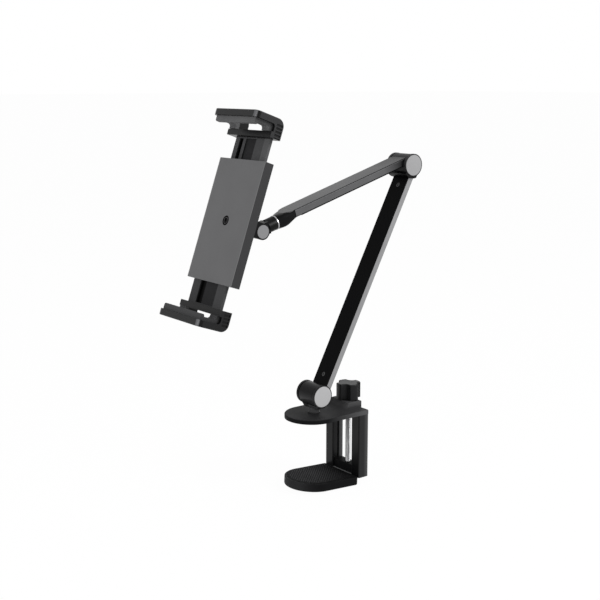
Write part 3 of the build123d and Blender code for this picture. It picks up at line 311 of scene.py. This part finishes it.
# The back cover is the same nylon from a rougher mould
coverNylon = grained("moulded_cover_nylon", {**jawBase, "rough": 0.34, "bump": 0.00004, "specular": 0.2})

# Smoother nylon of the sliders, each with its own tones as painted light and shade: painted shade darkens the
# two floors of their long recesses, and painted light lightens their flanks and a strip at the right. A floor
# is a depth behind the middle of the plate's front.
sliderBase = {"rough": 0.45, "grain": 0.0008, "bump": 0.00003, "specular": 0.03}
sliderLitAndShadedLook = {
    "top": {
        "low": "#3A3A3B", "high": "#464647", "light": "#505051",
        "strip": 0.0172, "upper": 0.0049, "lower": 0.006},
    "bottom": {
        "low": "#323233", "high": "#3D3D3E", "light": "#404041",
        "strip": 0.0126, "upper": 0.0021, "lower": 0.0031}}
recessFloorShade = {"upper": "#232324", "lower": "#030303"}
edgeFade = 0.0002


def sliderLightAndShade(slider, look):
    tones = [zone("strip", look["light"], right, look["strip"], look["strip"] + edgeFade)]
    for level, tone in recessFloorShade.items():
        depth = look[level]
        tones.append(zone(level + " floor", tone, -holderNormal, depth, depth + edgeFade, holderCentre))
    return tones + flanks(slider, look["light"], deep=0.0002, shallow=0.0001)


sliderNylon = {
    end: grained(end + "_slider_nylon", {**sliderBase, **look}, sliderLightAndShade(end + "_slider", look))
    for end, look in sliderLitAndShadedLook.items()}

# Grey anodised holder plate: satin, with a painted highlight along its bevels and painted shade on its flanks
shellLook = {
    "low": "#5B5B5C", "high": "#626263", "rough": 0.45, "grain": 0.0003, "bump": 0.00001, "metallic": 0.1}
shellHighlightAndShade = flanks("holder_front_shell", "#6C6C6D", deep=0.0011, shallow=0.0009)
shellHighlightAndShade += flanks("holder_front_shell", "#323233", deep=0.0002, shallow=0.00005)
plateCoat = grained("satin_grey_plate", shellLook, shellHighlightAndShade)

# Anodised aluminium channels, drawn: fine lines 0.2 mm apart along their length
channelLook = {"lines": (5000, 60, 60), "bump": 0.000004}
silverLook = {**channelLook, "low": "#828283", "high": "#949495", "rough": 0.4}
silverArm = brushed("silver_anodised_channel", silverLook)
# The upper channel's two top corners carry a fine dark line, where its cover meets its sides, and the elbow
# throws a shade on its end
greyLook = {**channelLook, "low": "#4C4C4D", "high": "#5A5A5B", "rough": 0.42}
lineLook = {"tone": "#2A2A2B", "deep": 0.00075, "shallow": 0.00045}


def upperChannelTones(channel):
    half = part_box(channel)[1].x
    reach = max(vert.co.dot(upperArmTop) for vert in nodes[channel].data.vertices)
    tones = []
    for side in (1, -1):
        aim = (upperArmTop + right * side).normalized()
        corner = upperArmTop * reach + right * side * half
        tones.append(zone("line", lineLook["tone"], aim, -lineLook["deep"], -lineLook["shallow"], corner))
    return tones + [zone("elbow end", "#1A1A1B", -upperArmAxis, -0.034, -0.009, elbow)]


greyArm = brushed("grey_anodised_channel", greyLook, upperChannelTones("upper_arm_channel"))
# Turned caps of clear anodised aluminium: rings of 0.25 mm, coarser than real ones so that they show
capBase = {"rough": 0.36, "lines": (4000, 0, 0), "bump": 0.000004}
# Painted light: each cap's tone is set by how brightly it is lit, lightest at the shoulder, darkest at the
# wrist
capLitAndShadedLook = {
    "shoulder": {"low": "#A8A8A9", "high": "#B8B8B9", "pivot": shoulder},
    "elbow": {"low": "#929293", "high": "#A2A2A3", "pivot": elbow},
    "wrist": {"low": "#78787A", "high": "#89898A", "pivot": wrist}}
turnedCap = {
    end: brushed("turned_cap_" + end, {**capBase, **look}, ringCentre=look["pivot"])
    for end, look in capLitAndShadedLook.items()}
# Zinc-plated steel of bolts and pins: bright, with fine turned marks
zincLook = {
    "low": "#AFAFB0", "high": "#CACACB", "rough": 0.36, "metallic": 1.0,
    "lines": (900, 900, 6000), "bump": 0.000006}
zincSteel = brushed("zinc_plated_steel", zincLook)
# Polished steel of the ring in front of the wrist: smooth, and nearly a mirror
ringLook = {
    "low": "#98989A", "high": "#B4B4B5", "rough": 0.25, "metallic": 1.0,
    "lines": (3000, 3000, 3000), "bump": 0.000002}
polishedRing = brushed("polished_ring", ringLook)
# Turned brass: warm, with fine turned marks
brassLook = {
    "low": "#B08A45", "high": "#CBA55C", "rough": 0.3, "metallic": 1.0,
    "lines": (900, 900, 6000), "bump": 0.000005}
brass = brushed("turned_brass", brassLook)
# Black-oxide steel of the screws: the one in the plate is painted near black, as painted shade in its recess,
# and the others are lighter
oxideBase = {"rough": 0.35, "grain": 0.0003, "bump": 0.000004}
shadedScrewLook = {**oxideBase, "low": "#020203", "high": "#060607", "specular": 0.05}
recessShadedSteel = grained("black_oxide_centre_screw_painted_shade", shadedScrewLook)
blackLook = {**oxideBase, "low": "#444445", "high": "#575758", "metallic": 0.6}
blackSteel = grained("black_oxide_steel", blackLook)
# Matt black of the ring round the middle screw: painted shade, a dark ring where the recess round the screw
# is in shade
shadeRingFinish = {
    "low": "#020202", "high": "#060607", "rough": 0.6, "grain": 0.0004, "bump": 0.00001, "specular": 0.02}
shadeRingBlack = grained("painted_shade_ring", shadeRingFinish)

# Which pieces of the frame carry each finish
finishes = {
    plateCast: ["clamp_top_plate"],
    jawCast: ["clamp_lower_jaw"],
    railCoat: ["clamp_column"],
    rubber: ["upper_desk_pad", "lower_desk_pad"],
    silicone["top"]: ["top_jaw_liner"],
    silicone["bottom"]: ["bottom_jaw_liner"],
    knobPlastic: ["clamp_knob"],
    nylon: ["knob_washer", "shoulder_washers", "elbow_washers", "rack_pinion"],
    swivelNylonLightened: ["swivel_washer"],
    yokeCoat: ["shoulder_yoke"],
    knuckleCoat: ["lower_arm_knuckle"],
    barrelCoat: ["upper_arm_nose", "wrist_sleeve", "holder_bracket"],
    elbowCoat: ["elbow_fork", "elbow_eye"],
    stripCoat: ["lower_arm_strip", "upper_arm_strip"],
    jawNylon["top"]: ["top_jaw"],
    jawNylon["bottom"]: ["bottom_jaw"],
    coverNylon: ["holder_back_cover"],
    sliderNylon["top"]: ["top_slider"],
    sliderNylon["bottom"]: ["bottom_slider"],
    plateCoat: ["holder_front_shell"],
    turnedCap["shoulder"]: ["shoulder_caps"],
    turnedCap["elbow"]: ["elbow_caps"],
    turnedCap["wrist"]: ["wrist_caps"],
    silverArm: ["lower_arm_channel"],
    greyArm: ["upper_arm_channel"],
    zincSteel: ["screw_circlip", "swivel_bolt", "shoulder_pin", "elbow_pin", "wrist_pin", "column_screws"],
    polishedRing: ["wrist_ring"],
    brass: ["lower_jaw_nut"],
}
for finish, names in finishes.items():
    for name in names:
        slots = nodes[name].data.materials
        if slots:
            slots[0] = finish
        else:
            slots.append(finish)
print("stage: materials done")


def newTree(name, inputs):
    tree = bpy.data.node_groups.new(name, "GeometryNodeTree")
    for label, kind in inputs.items():
        tree.interface.new_socket(label, in_out="INPUT", socket_type="NodeSocket" + kind)
    tree.interface.new_socket("Geometry", in_out="OUTPUT", socket_type="NodeSocketGeometry")
    return tree, addNode(tree, "NodeGroupInput").outputs


def closeTree(tree, geometry, finish):
    real = addNode(tree, "GeometryNodeRealizeInstances", {"Geometry": geometry})
    painted = addNode(tree, "GeometryNodeSetMaterial", {"Geometry": real, "Material": finish})
    addNode(tree, "NodeGroupOutput", {"Geometry": painted})


def newObject(name, verts, faces):
    mesh = bpy.data.meshes.new(name)
    mesh.from_pydata([tuple(vert) for vert in verts], [], faces)
    obj = bpy.data.objects.new(name, mesh)
    scene.collection.objects.link(obj)
    return obj


# Runs a tree on a carrier and leaves its result there as a plain, closed mesh. Edges that turn by more than
# the crease, in degrees, stay sharp.
def grow(carrier, tree, values, crease=35):
    modifier = carrier.modifiers.new(tree.name, "NODES")
    modifier.node_group = tree
    for item in tree.interface.items_tree:
        if item.in_out == "INPUT" and item.name in values:
            modifier[item.identifier] = values[item.name]
    bpy.context.view_layer.update()
    mesh = bpy.data.meshes.new_from_object(carrier.evaluated_get(bpy.context.evaluated_depsgraph_get()))
    carrier.modifiers.clear()
    carrier.data = mesh
    work = bmesh.new()
    work.from_mesh(mesh)
    bmesh.ops.remove_doubles(work, verts=work.verts, dist=weldGap / 10)
    bmesh.ops.holes_fill(work, edges=[edge for edge in work.edges if edge.is_boundary], sides=0)
    bmesh.ops.recalc_face_normals(work, faces=work.faces)
    for face in work.faces:
        face.smooth = True
    work.to_mesh(mesh)
    work.free()
    mesh.set_sharp_from_angle(angle=radians(crease))


# Middle of the box round some points
def middleOf(points):
    spans = [[point[side] for point in points] for side in range(3)]
    return Vector([min(span) + max(span) for span in spans]) / 2


# One ring of a body turned round Z, as a circle or as a hexagon drawn with just as many points
def ringPoints(sides, radius, height, isHexagon=False):
    points = []
    for side in range(sides):
        angle = 2 * pi * side / sides
        reach = radius
        if isHexagon:
            reach *= cos(pi / 6) / cos((angle + pi / 6) % (pi / 3) - pi / 6)
        points.append(Vector((reach * cos(angle), reach * sin(angle), height)))
    return points


# Faces between the rings of a turned body. In a loop the last ring joins the first one.
def ringFaces(rings, sides, isLoop=False):
    faces = []
    for ring in range(rings if isLoop else rings - 1):
        low, high = ring * sides, (ring + 1) % rings * sides
        for side in range(sides):
            after = (side + 1) % sides
            faces.append((low + side, low + after, high + after, high + side))
    return faces


# Screws: every set is rebuilt with a chamfered head and a hexagon socket, from the sizes of its CAD screws.
# Shares are of the head's radius, and mouth and bottom are of the socket's own radius.
screwLook = {
    "sides": 24, "socket": 0.5, "socketDepth": 0.7, "edge": 0.12, "mouth": 1.15, "bottom": 0.96, "seed": 3}
# Past the first share of the head's radius a point is on its rim. The shank's radius is the least one past
# the second share.
headShare, shankShare = 0.95, 1 / 3
# Each set: the body it rides on, the direction out of its heads and its finish
screwSets = {
    "lower_arm_screws": ("lower_arm", lowerArmFront, blackSteel),
    "centre_screw": ("bracket", holderNormal, recessShadedSteel),
    "holder_cover_screws": ("holder", holderNormal, blackSteel),
    "top_jaw_screws": ("top_grip", holderNormal, blackSteel),
    "bottom_jaw_screws": ("bottom_grip", holderNormal, blackSteel),
    "nose_set_screw": ("upper_arm", upperArmTop, blackSteel),
}


# The points of each separate solid in a node
def looseParts(node):
    work = bmesh.new()
    work.from_mesh(nodes[node].data)
    bmesh.ops.remove_doubles(work, verts=work.verts, dist=weldGap)
    left, parts = set(work.verts), []
    while left:
        group, queue = [], [left.pop()]
        while queue:
            vert = queue.pop()
            group.append(vert.co.copy())
            for edge in vert.link_edges:
                other = edge.other_vert(vert)
                if other in left:
                    left.discard(other)
                    queue.append(other)
        parts.append(group)
    work.free()
    return parts


# Middle of the head's top, outward axis, head radius and height, shank radius and length of one CAD screw
def measureScrew(points, axis):
    middle = middleOf(points)
    heights = [(point - middle).dot(axis) for point in points]
    radii = [((point - middle) - axis * height).length for point, height in zip(points, heights)]
    headRadius = max(radii)
    shankRadius = min(radius for radius in radii if radius > shankShare * headRadius)
    headHeights = [height for height, radius in zip(heights, radii) if radius > headShare * headRadius]
    top, foot = max(heights), min(heights)
    if abs(top - max(headHeights)) > abs(foot - min(headHeights)):
        return measureScrew(points, -axis)
    return middle + axis * top, axis, headRadius, top - min(headHeights), shankRadius, top - foot


def screwBody(headRadius, headHeight, shankRadius, length):
    edge, socket = screwLook["edge"] * headRadius, screwLook["socket"] * headRadius
    depth = screwLook["socketDepth"] * min(headHeight, headRadius)
    rings = [
        (shankRadius - edge, -length), (shankRadius, edge - length), (shankRadius, -headHeight),
        (headRadius, -headHeight), (headRadius, -edge), (headRadius - edge, 0),
        (screwLook["mouth"] * socket, 0, True), (socket, -edge, True),
        (screwLook["bottom"] * socket, -depth, True)]
    sides = screwLook["sides"]
    verts = [point for ring in rings for point in ringPoints(sides, *ring)]
    faces = ringFaces(len(rings), sides)
    faces.append(tuple(reversed(range(sides))))
    faces.append(tuple(range(len(verts) - sides, len(verts))))
    return newObject("screw_pattern", verts, faces)


# Puts the screw on each point, facing outward. Each one is turned at random, within the sixth of a turn after
# which its hexagon repeats.
def screwTree():
    tree, given = newTree("placeScrews", {
        "Geometry": "Geometry", "Screw": "Object", "Outward": "Vector", "Steel": "Material", "Seed": "Int"})
    info = addNode(tree, "GeometryNodeObjectInfo", {"Object": given["Screw"]})
    facing = addNode(tree, "FunctionNodeAlignRotationToVector", {"Vector": given["Outward"]}, axis="Z")
    placed = addNode(tree, "GeometryNodeInstanceOnPoints", {
        "Points": given["Geometry"], "Instance": info.outputs["Geometry"], "Rotation": facing})
    turn = addNode(tree, "FunctionNodeRandomValue", {3: pi / 3, "Seed": given["Seed"]}, data_type="FLOAT")
    about = addNode(tree, "ShaderNodeCombineXYZ", {"Z": turn.outputs[1]})
    turned = addNode(tree, "GeometryNodeRotateInstances", {"Instances": placed, "Rotation": about})
    closeTree(tree, turned, given["Steel"])
    return tree


placeScrews = screwTree()
for node, (body, axis, steel) in screwSets.items():
    measured = [measureScrew(points, axis.normalized()) for points in looseParts(node)]
    outward, *sizes = measured[0][1:]
    pattern = screwBody(*sizes)
    piece = newObject("socket_" + node, [screw[0] for screw in measured], [])
    grow(piece, placeScrews, {
        "Screw": pattern, "Outward": tuple(outward), "Steel": steel, "Seed": screwLook["seed"]})
    bpy.data.objects.remove(pattern)
    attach(piece, body)
    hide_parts(node)
print("stage: screws done")

# A black ring round the screw in the middle of the holder plate: painted shade that stands in for the shade
# of the recess round the screw
shadeRingSizes = {
    "outer": 0.0043, "inner": 0.0028, "proud": 0.00015, "deep": 0.0008, "rounding": 0.00015, "taper": 0.0006}
shadeRingSides = 48


# The shade ring's cut, each point as a radius and a height
def shadeRingProfile(outer, inner, proud, deep, rounding, taper):
    return [
        (outer, -rounding), (outer, proud - rounding), (outer - rounding, proud), (inner + rounding, proud),
        (inner, proud - rounding), (inner, -deep), (outer - taper, -deep)]


profile = shadeRingProfile(**shadeRingSizes)
upright = holderNormal.to_track_quat("Z", "Y").to_matrix()
shadeRingVerts = [holderCentre + upright @ point for ring in profile for point in ringPoints(shadeRingSides, *ring)]
shadeRing = newObject("plate_bezel", shadeRingVerts, ringFaces(len(profile), shadeRingSides, isLoop=True))
shadeRing.data.materials.append(shadeRingBlack)
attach(shadeRing, "holder")
print("stage: bezel done")

# Lead screw: a metric thread below the clip, a plain journal above it. Flanks lie between two shares of the
# pitch, counted from a crest, and the tip is a share of the crest's radius.
threadLook = {
    "threadLength": 0.0536, "depth": 0.0004, "pitch": 0.0008, "flankStart": 0.08, "flankStop": 0.42,
    "tip": 0.75, "ringsPerPitch": 8, "sides": 24}


def rodTree():
    tree, given = newTree("threadedRod", {
        "Length": "Float", "Thread Length": "Float", "Crest Radius": "Float", "Thread Depth": "Float",
        "Pitch": "Float", "Flank Start": "Float", "Flank Stop": "Float", "Tip Share": "Float",
        "Rings": "Int", "Sides": "Int", "Foot": "Vector"})
    flat = addNode(tree, "GeometryNodeMeshGrid", {
        "Size X": 1.0, "Size Y": given["Length"], "Vertices X": given["Sides"], "Vertices Y": given["Rings"]})
    position = addNode(tree, "GeometryNodeInputPosition")
    place = addNode(tree, "ShaderNodeSeparateXYZ", {"Vector": position}).outputs
    half = addNode(tree, "ShaderNodeMath", {0: given["Length"], 1: 0.5}, operation="MULTIPLY")
    height = addNode(tree, "ShaderNodeMath", {0: place["Y"], 1: half}, operation="ADD")
    angle = addNode(tree, "ShaderNodeMath", {0: place["X"], 1: 2 * pi}, operation="MULTIPLY")
    # How deep the thread is cut at a point: a wave along the screw that moves on by one pitch in each turn
    turns = addNode(tree, "ShaderNodeMath", {0: height, 1: given["Pitch"]}, operation="DIVIDE")
    phase = addNode(tree, "ShaderNodeMath", {0: turns, 1: place["X"]}, operation="SUBTRACT")
    wave = addNode(tree, "ShaderNodeMath", {0: phase, 1: 0.5}, operation="PINGPONG")
    flank = addNode(tree, "ShaderNodeMapRange", {
        "Value": wave, "From Min": given["Flank Start"], "From Max": given["Flank Stop"]})
    # The thread runs out over its last pitch
    runOut = addNode(tree, "ShaderNodeMath", {
        0: given["Thread Length"], 1: given["Pitch"]}, operation="SUBTRACT")
    fade = addNode(tree, "ShaderNodeMapRange", {
        "Value": height, "From Min": given["Thread Length"], "From Max": runOut})
    share = addNode(tree, "ShaderNodeMath", {0: flank, 1: fade}, operation="MULTIPLY")
    cut = addNode(tree, "ShaderNodeMath", {0: share, 1: given["Thread Depth"]}, operation="MULTIPLY")
    shaft = addNode(tree, "ShaderNodeMath", {0: given["Crest Radius"], 1: cut}, operation="SUBTRACT")
    # The tip is chamfered at 45 degrees
    tip = addNode(tree, "ShaderNodeMath", {
        0: given["Crest Radius"], 1: given["Tip Share"], 2: height}, operation="MULTIPLY_ADD")
    radius = addNode(tree, "ShaderNodeMath", {0: shaft, 1: tip}, operation="MINIMUM")
    # The flat grid is rolled up: each point goes to its radius, turned by its angle
    spoke = addNode(tree, "ShaderNodeCombineXYZ", {"X": radius, "Z": height})
    rolled = addNode(tree, "ShaderNodeVectorRotate", {
        "Vector": spoke, "Angle": angle}, rotation_type="Z_AXIS")
    moved = addNode(tree, "GeometryNodeSetPosition", {
        "Geometry": flat, "Position": rolled, "Offset": given["Foot"]})
    merged = addNode(tree, "GeometryNodeMergeByDistance", {"Geometry": moved, "Distance": weldGap})
    closeTree(tree, merged, zincSteel)
    return tree


screwLow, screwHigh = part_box("lead_screw")
screwLength = screwHigh.z - screwLow.z
thread = newObject("threaded_lead_screw", [], [])
grow(thread, rodTree(), {
    "Length": screwLength, "Thread Length": threadLook["threadLength"], "Crest Radius": screwHigh.x,
    "Thread Depth": threadLook["depth"], "Pitch": threadLook["pitch"], "Tip Share": threadLook["tip"],
    "Flank Start": threadLook["flankStart"], "Flank Stop": threadLook["flankStop"],
    "Rings": int(screwLength / threadLook["pitch"] * threadLook["ringsPerPitch"]),
    "Sides": threadLook["sides"] + 1, "Foot": (0, joints["knob_turn"]["pos_m"][1], screwLow.z)}, crease=50)
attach(thread, "knob")
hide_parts("lead_screw")
print("stage: lead screw done")

# Rubber pads: a field of small raised studs in diagonal rows, dropped on to the pad from above. Margin is the
# share of the pad that has studs, and taper the share of a stud's radius that is left at its top.
padLook = {
    "pitch": 0.002, "radius": 0.00072, "height": 0.0004, "sunk": 0.0001, "taper": 0.5, "sides": 8,
    "margin": 0.93, "span": 0.09, "lift": 0.01}


def studTree():
    tree, given = newTree("studField", {
        "Geometry": "Geometry", "Centre": "Vector", "Outward": "Vector", "Span": "Float", "Pitch": "Float",
        "Lift": "Float", "Stud Radius": "Float", "Stud Height": "Float", "Taper": "Float", "Sides": "Int",
        "Sunk": "Float"})
    # A square grid, turned to diagonal rows and held above the pad
    steps = addNode(tree, "ShaderNodeMath", {0: given["Span"], 1: given["Pitch"]}, operation="DIVIDE")
    count = addNode(tree, "ShaderNodeMath", {0: steps, 1: 1.0}, operation="ADD")
    rows = addNode(tree, "GeometryNodeMeshGrid", {
        "Size X": given["Span"], "Size Y": given["Span"], "Vertices X": count, "Vertices Y": count})
    diagonal = addNode(tree, "GeometryNodeTransform", {"Geometry": rows, "Rotation": (0, 0, pi / 4)})
    facing = addNode(tree, "FunctionNodeAlignRotationToVector", {"Vector": given["Outward"]}, axis="Z")
    above = addNode(tree, "ShaderNodeVectorMath", {
        0: given["Outward"], 1: given["Lift"], 2: given["Centre"]}, operation="MULTIPLY_ADD")
    held = addNode(tree, "GeometryNodeTransform", {
        "Geometry": diagonal, "Translation": above, "Rotation": facing})
    # Its points drop on to the pad, and those that miss it go
    inward = addNode(tree, "ShaderNodeVectorMath", {0: given["Outward"], "Scale": -1.0}, operation="SCALE")
    fall = addNode(tree, "ShaderNodeMath", {0: given["Lift"], 1: 2.0}, operation="MULTIPLY")
    ray = addNode(tree, "GeometryNodeRaycast", {
        "Target Geometry": given["Geometry"], "Ray Direction": inward, "Ray Length": fall})
    missed = addNode(tree, "FunctionNodeBooleanMath", {0: ray.outputs["Is Hit"]}, operation="NOT")
    kept = addNode(tree, "GeometryNodeDeleteGeometry", {
        "Geometry": held, "Selection": missed}, domain="POINT")
    landed = addNode(tree, "GeometryNodeSetPosition", {
        "Geometry": kept, "Position": ray.outputs["Hit Position"]})
    # A stud on each point, its foot sunk into the pad
    top = addNode(tree, "ShaderNodeMath", {0: given["Stud Radius"], 1: given["Taper"]}, operation="MULTIPLY")
    depth = addNode(tree, "ShaderNodeMath", {0: given["Stud Height"], 1: given["Sunk"]}, operation="ADD")
    stud = addNode(tree, "GeometryNodeMeshCone", {
        "Vertices": given["Sides"], "Radius Top": top, "Radius Bottom": given["Stud Radius"], "Depth": depth})
    below = addNode(tree, "ShaderNodeMath", {0: given["Sunk"], 1: -1.0}, operation="MULTIPLY")
    sink = addNode(tree, "ShaderNodeCombineXYZ", {"Z": below})
    lowered = addNode(tree, "GeometryNodeTransform", {"Geometry": stud, "Translation": sink})
    studs = addNode(tree, "GeometryNodeInstanceOnPoints", {
        "Points": landed, "Instance": lowered, "Rotation": facing})
    closeTree(tree, studs, litStudRubber)
    return tree


# A copy of the flat face of a pad, drawn in a little, and its middle
def padFace(node, outward):
    flatness, levelGap = 0.999, 1e-5
    work = bmesh.new()
    work.from_mesh(nodes[node].data)
    bmesh.ops.remove_doubles(work, verts=work.verts, dist=weldGap)
    flat = [face for face in work.faces if face.normal.dot(outward) > flatness]
    reach = max(face.calc_center_median().dot(outward) for face in flat)
    outermost = {face for face in flat if reach - face.calc_center_median().dot(outward) < levelGap}
    bmesh.ops.delete(work, geom=[face for face in work.faces if face not in outermost], context="FACES")
    middle = middleOf([vert.co for vert in work.verts])
    shrink = Matrix.Translation(middle) @ Matrix.Scale(padLook["margin"], 4) @ Matrix.Translation(-middle)
    bmesh.ops.transform(work, matrix=shrink, verts=work.verts)
    mesh = bpy.data.meshes.new(node + "_surface")
    work.to_mesh(mesh)
    work.free()
    return mesh, middle


studField = studTree()
jawTilt = radians(3.2)  # the lower jaw rises towards its front
padSets = {
    "lower_desk_pad": ("clamp_jaw", Vector((0, sin(jawTilt), cos(jawTilt)))),
    "upper_desk_pad": ("clamp", down)}
for node, (body, outward) in padSets.items():
    surface, middle = padFace(node, outward)
    piece = bpy.data.objects.new("studs_" + node, surface)
    scene.collection.objects.link(piece)
    grow(piece, studField, {
        "Centre": tuple(middle), "Outward": tuple(outward), "Span": padLook["span"],
        "Pitch": padLook["pitch"], "Lift": padLook["lift"], "Stud Radius": padLook["radius"],
        "Stud Height": padLook["height"], "Taper": padLook["taper"], "Sides": padLook["sides"],
        "Sunk": padLook["sunk"]}, crease=20)
    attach(piece, body)
    print("studs on", node, len(piece.data.polygons))
print("stage: pads done")


# The white of the background, for rays that look at it and for those that mirror it or pass through
def seenDirectly(tree):
    path = addNode(tree, "ShaderNodeLightPath").outputs
    looked = addNode(tree, "ShaderNodeMath", {
        0: path["Is Camera Ray"], 1: path["Is Glossy Ray"]}, operation="MAXIMUM")
    return addNode(tree, "ShaderNodeMath", {0: looked, 1: path["Is Transmission Ray"]}, operation="MAXIMUM")


# Floor: matt paper that keeps the shadow, mixed with plain white by its share
floorLook = {"half": 30, "drop": 0.0005, "colour": "#FAFAFA", "white": 0.97}
floorZ = cadBox[0].z - floorLook["drop"]
corners = ((-1, -1), (1, -1), (1, 1), (-1, 1))
floorVerts = [(floorLook["half"] * x, floorLook["half"] * y, floorZ) for x, y in corners]
floor = newObject("floor", floorVerts, [(0, 1, 2, 3)])
whiteFloor, tree = newMaterial("white_floor")
matt = addNode(tree, "ShaderNodeBsdfDiffuse", {"Color": linear(floorLook["colour"])})
glow = addNode(tree, "ShaderNodeEmission", {"Color": linear("#FFFFFF"), "Strength": 1.0})
share = addNode(tree, "ShaderNodeMath", {0: seenDirectly(tree), 1: floorLook["white"]}, operation="MULTIPLY")
mixed = addNode(tree, "ShaderNodeMixShader", {0: share, 1: matt, 2: glow})
addNode(tree, "ShaderNodeOutputMaterial", {"Surface": mixed})
floor.data.materials.append(whiteFloor)

# Room: pure white where it is seen, and weaker as the light on the stand
roomLook = {"light": 0.55, "seen": 1.0}
room = bpy.data.worlds.new("white_room")
room.use_nodes = True
scene.world = room
tree = room.node_tree
tree.nodes.clear()
light = addNode(tree, "ShaderNodeBackground", {"Color": linear("#FFFFFF"), "Strength": roomLook["light"]})
seen = addNode(tree, "ShaderNodeBackground", {"Color": linear("#FFFFFF"), "Strength": roomLook["seen"]})
mixed = addNode(tree, "ShaderNodeMixShader", {0: seenDirectly(tree), 1: light, 2: seen})
addNode(tree, "ShaderNodeOutputWorld", {"Surface": mixed})


# Puts a lamp or the camera in its place, looking at a point
def lookAt(name, data, place, target):
    looker = bpy.data.objects.new(name, data)
    scene.collection.objects.link(looker)
    looker.location = place
    looker.rotation_mode = "QUATERNION"
    looker.rotation_quaternion = (target - place).to_track_quat("-Z", "Y")
    return looker


# The key light gives the shine on the jaws' corners, over their painted highlight bands, and the rim light
# the shine on the caps
lampLook = {
    "key": {"place": (0.25, -1.6, 0.75), "size": 0.7, "power": 11},
    "rim": {"place": (1.3, 0.7, 0.9), "size": 0.9, "power": 20}}
lampTarget = Vector((0, 0, 0.1))
for name, look in lampLook.items():
    lamp = bpy.data.lights.new(name, "AREA")
    lamp.shape = "DISK"
    lamp.size = look["size"]
    lamp.energy = look["power"]
    lookAt(name, lamp, Vector(look["place"]), lampTarget)

cameraLook = {
    "azimuth": 52.9, "elevation": 11.08, "distance": 1.0042, "target": (0, -0.01325, 0.11184),
    "lens": 67.11, "sensor": 36, "near": 0.01, "far": 100}
azimuth, elevation = radians(cameraLook["azimuth"]), radians(cameraLook["elevation"])
towards = Vector((sin(azimuth) * cos(elevation), -cos(azimuth) * cos(elevation), sin(elevation)))
target = Vector(cameraLook["target"])
lens = bpy.data.cameras.new("camera")
lens.lens = cameraLook["lens"]
lens.sensor_width = cameraLook["sensor"]
lens.clip_start = cameraLook["near"]
lens.clip_end = cameraLook["far"]
scene.camera = lookAt("camera", lens, target + towards * cameraLook["distance"], target)
scene.view_settings.view_transform = "Standard"
print("stage: camera and light done")
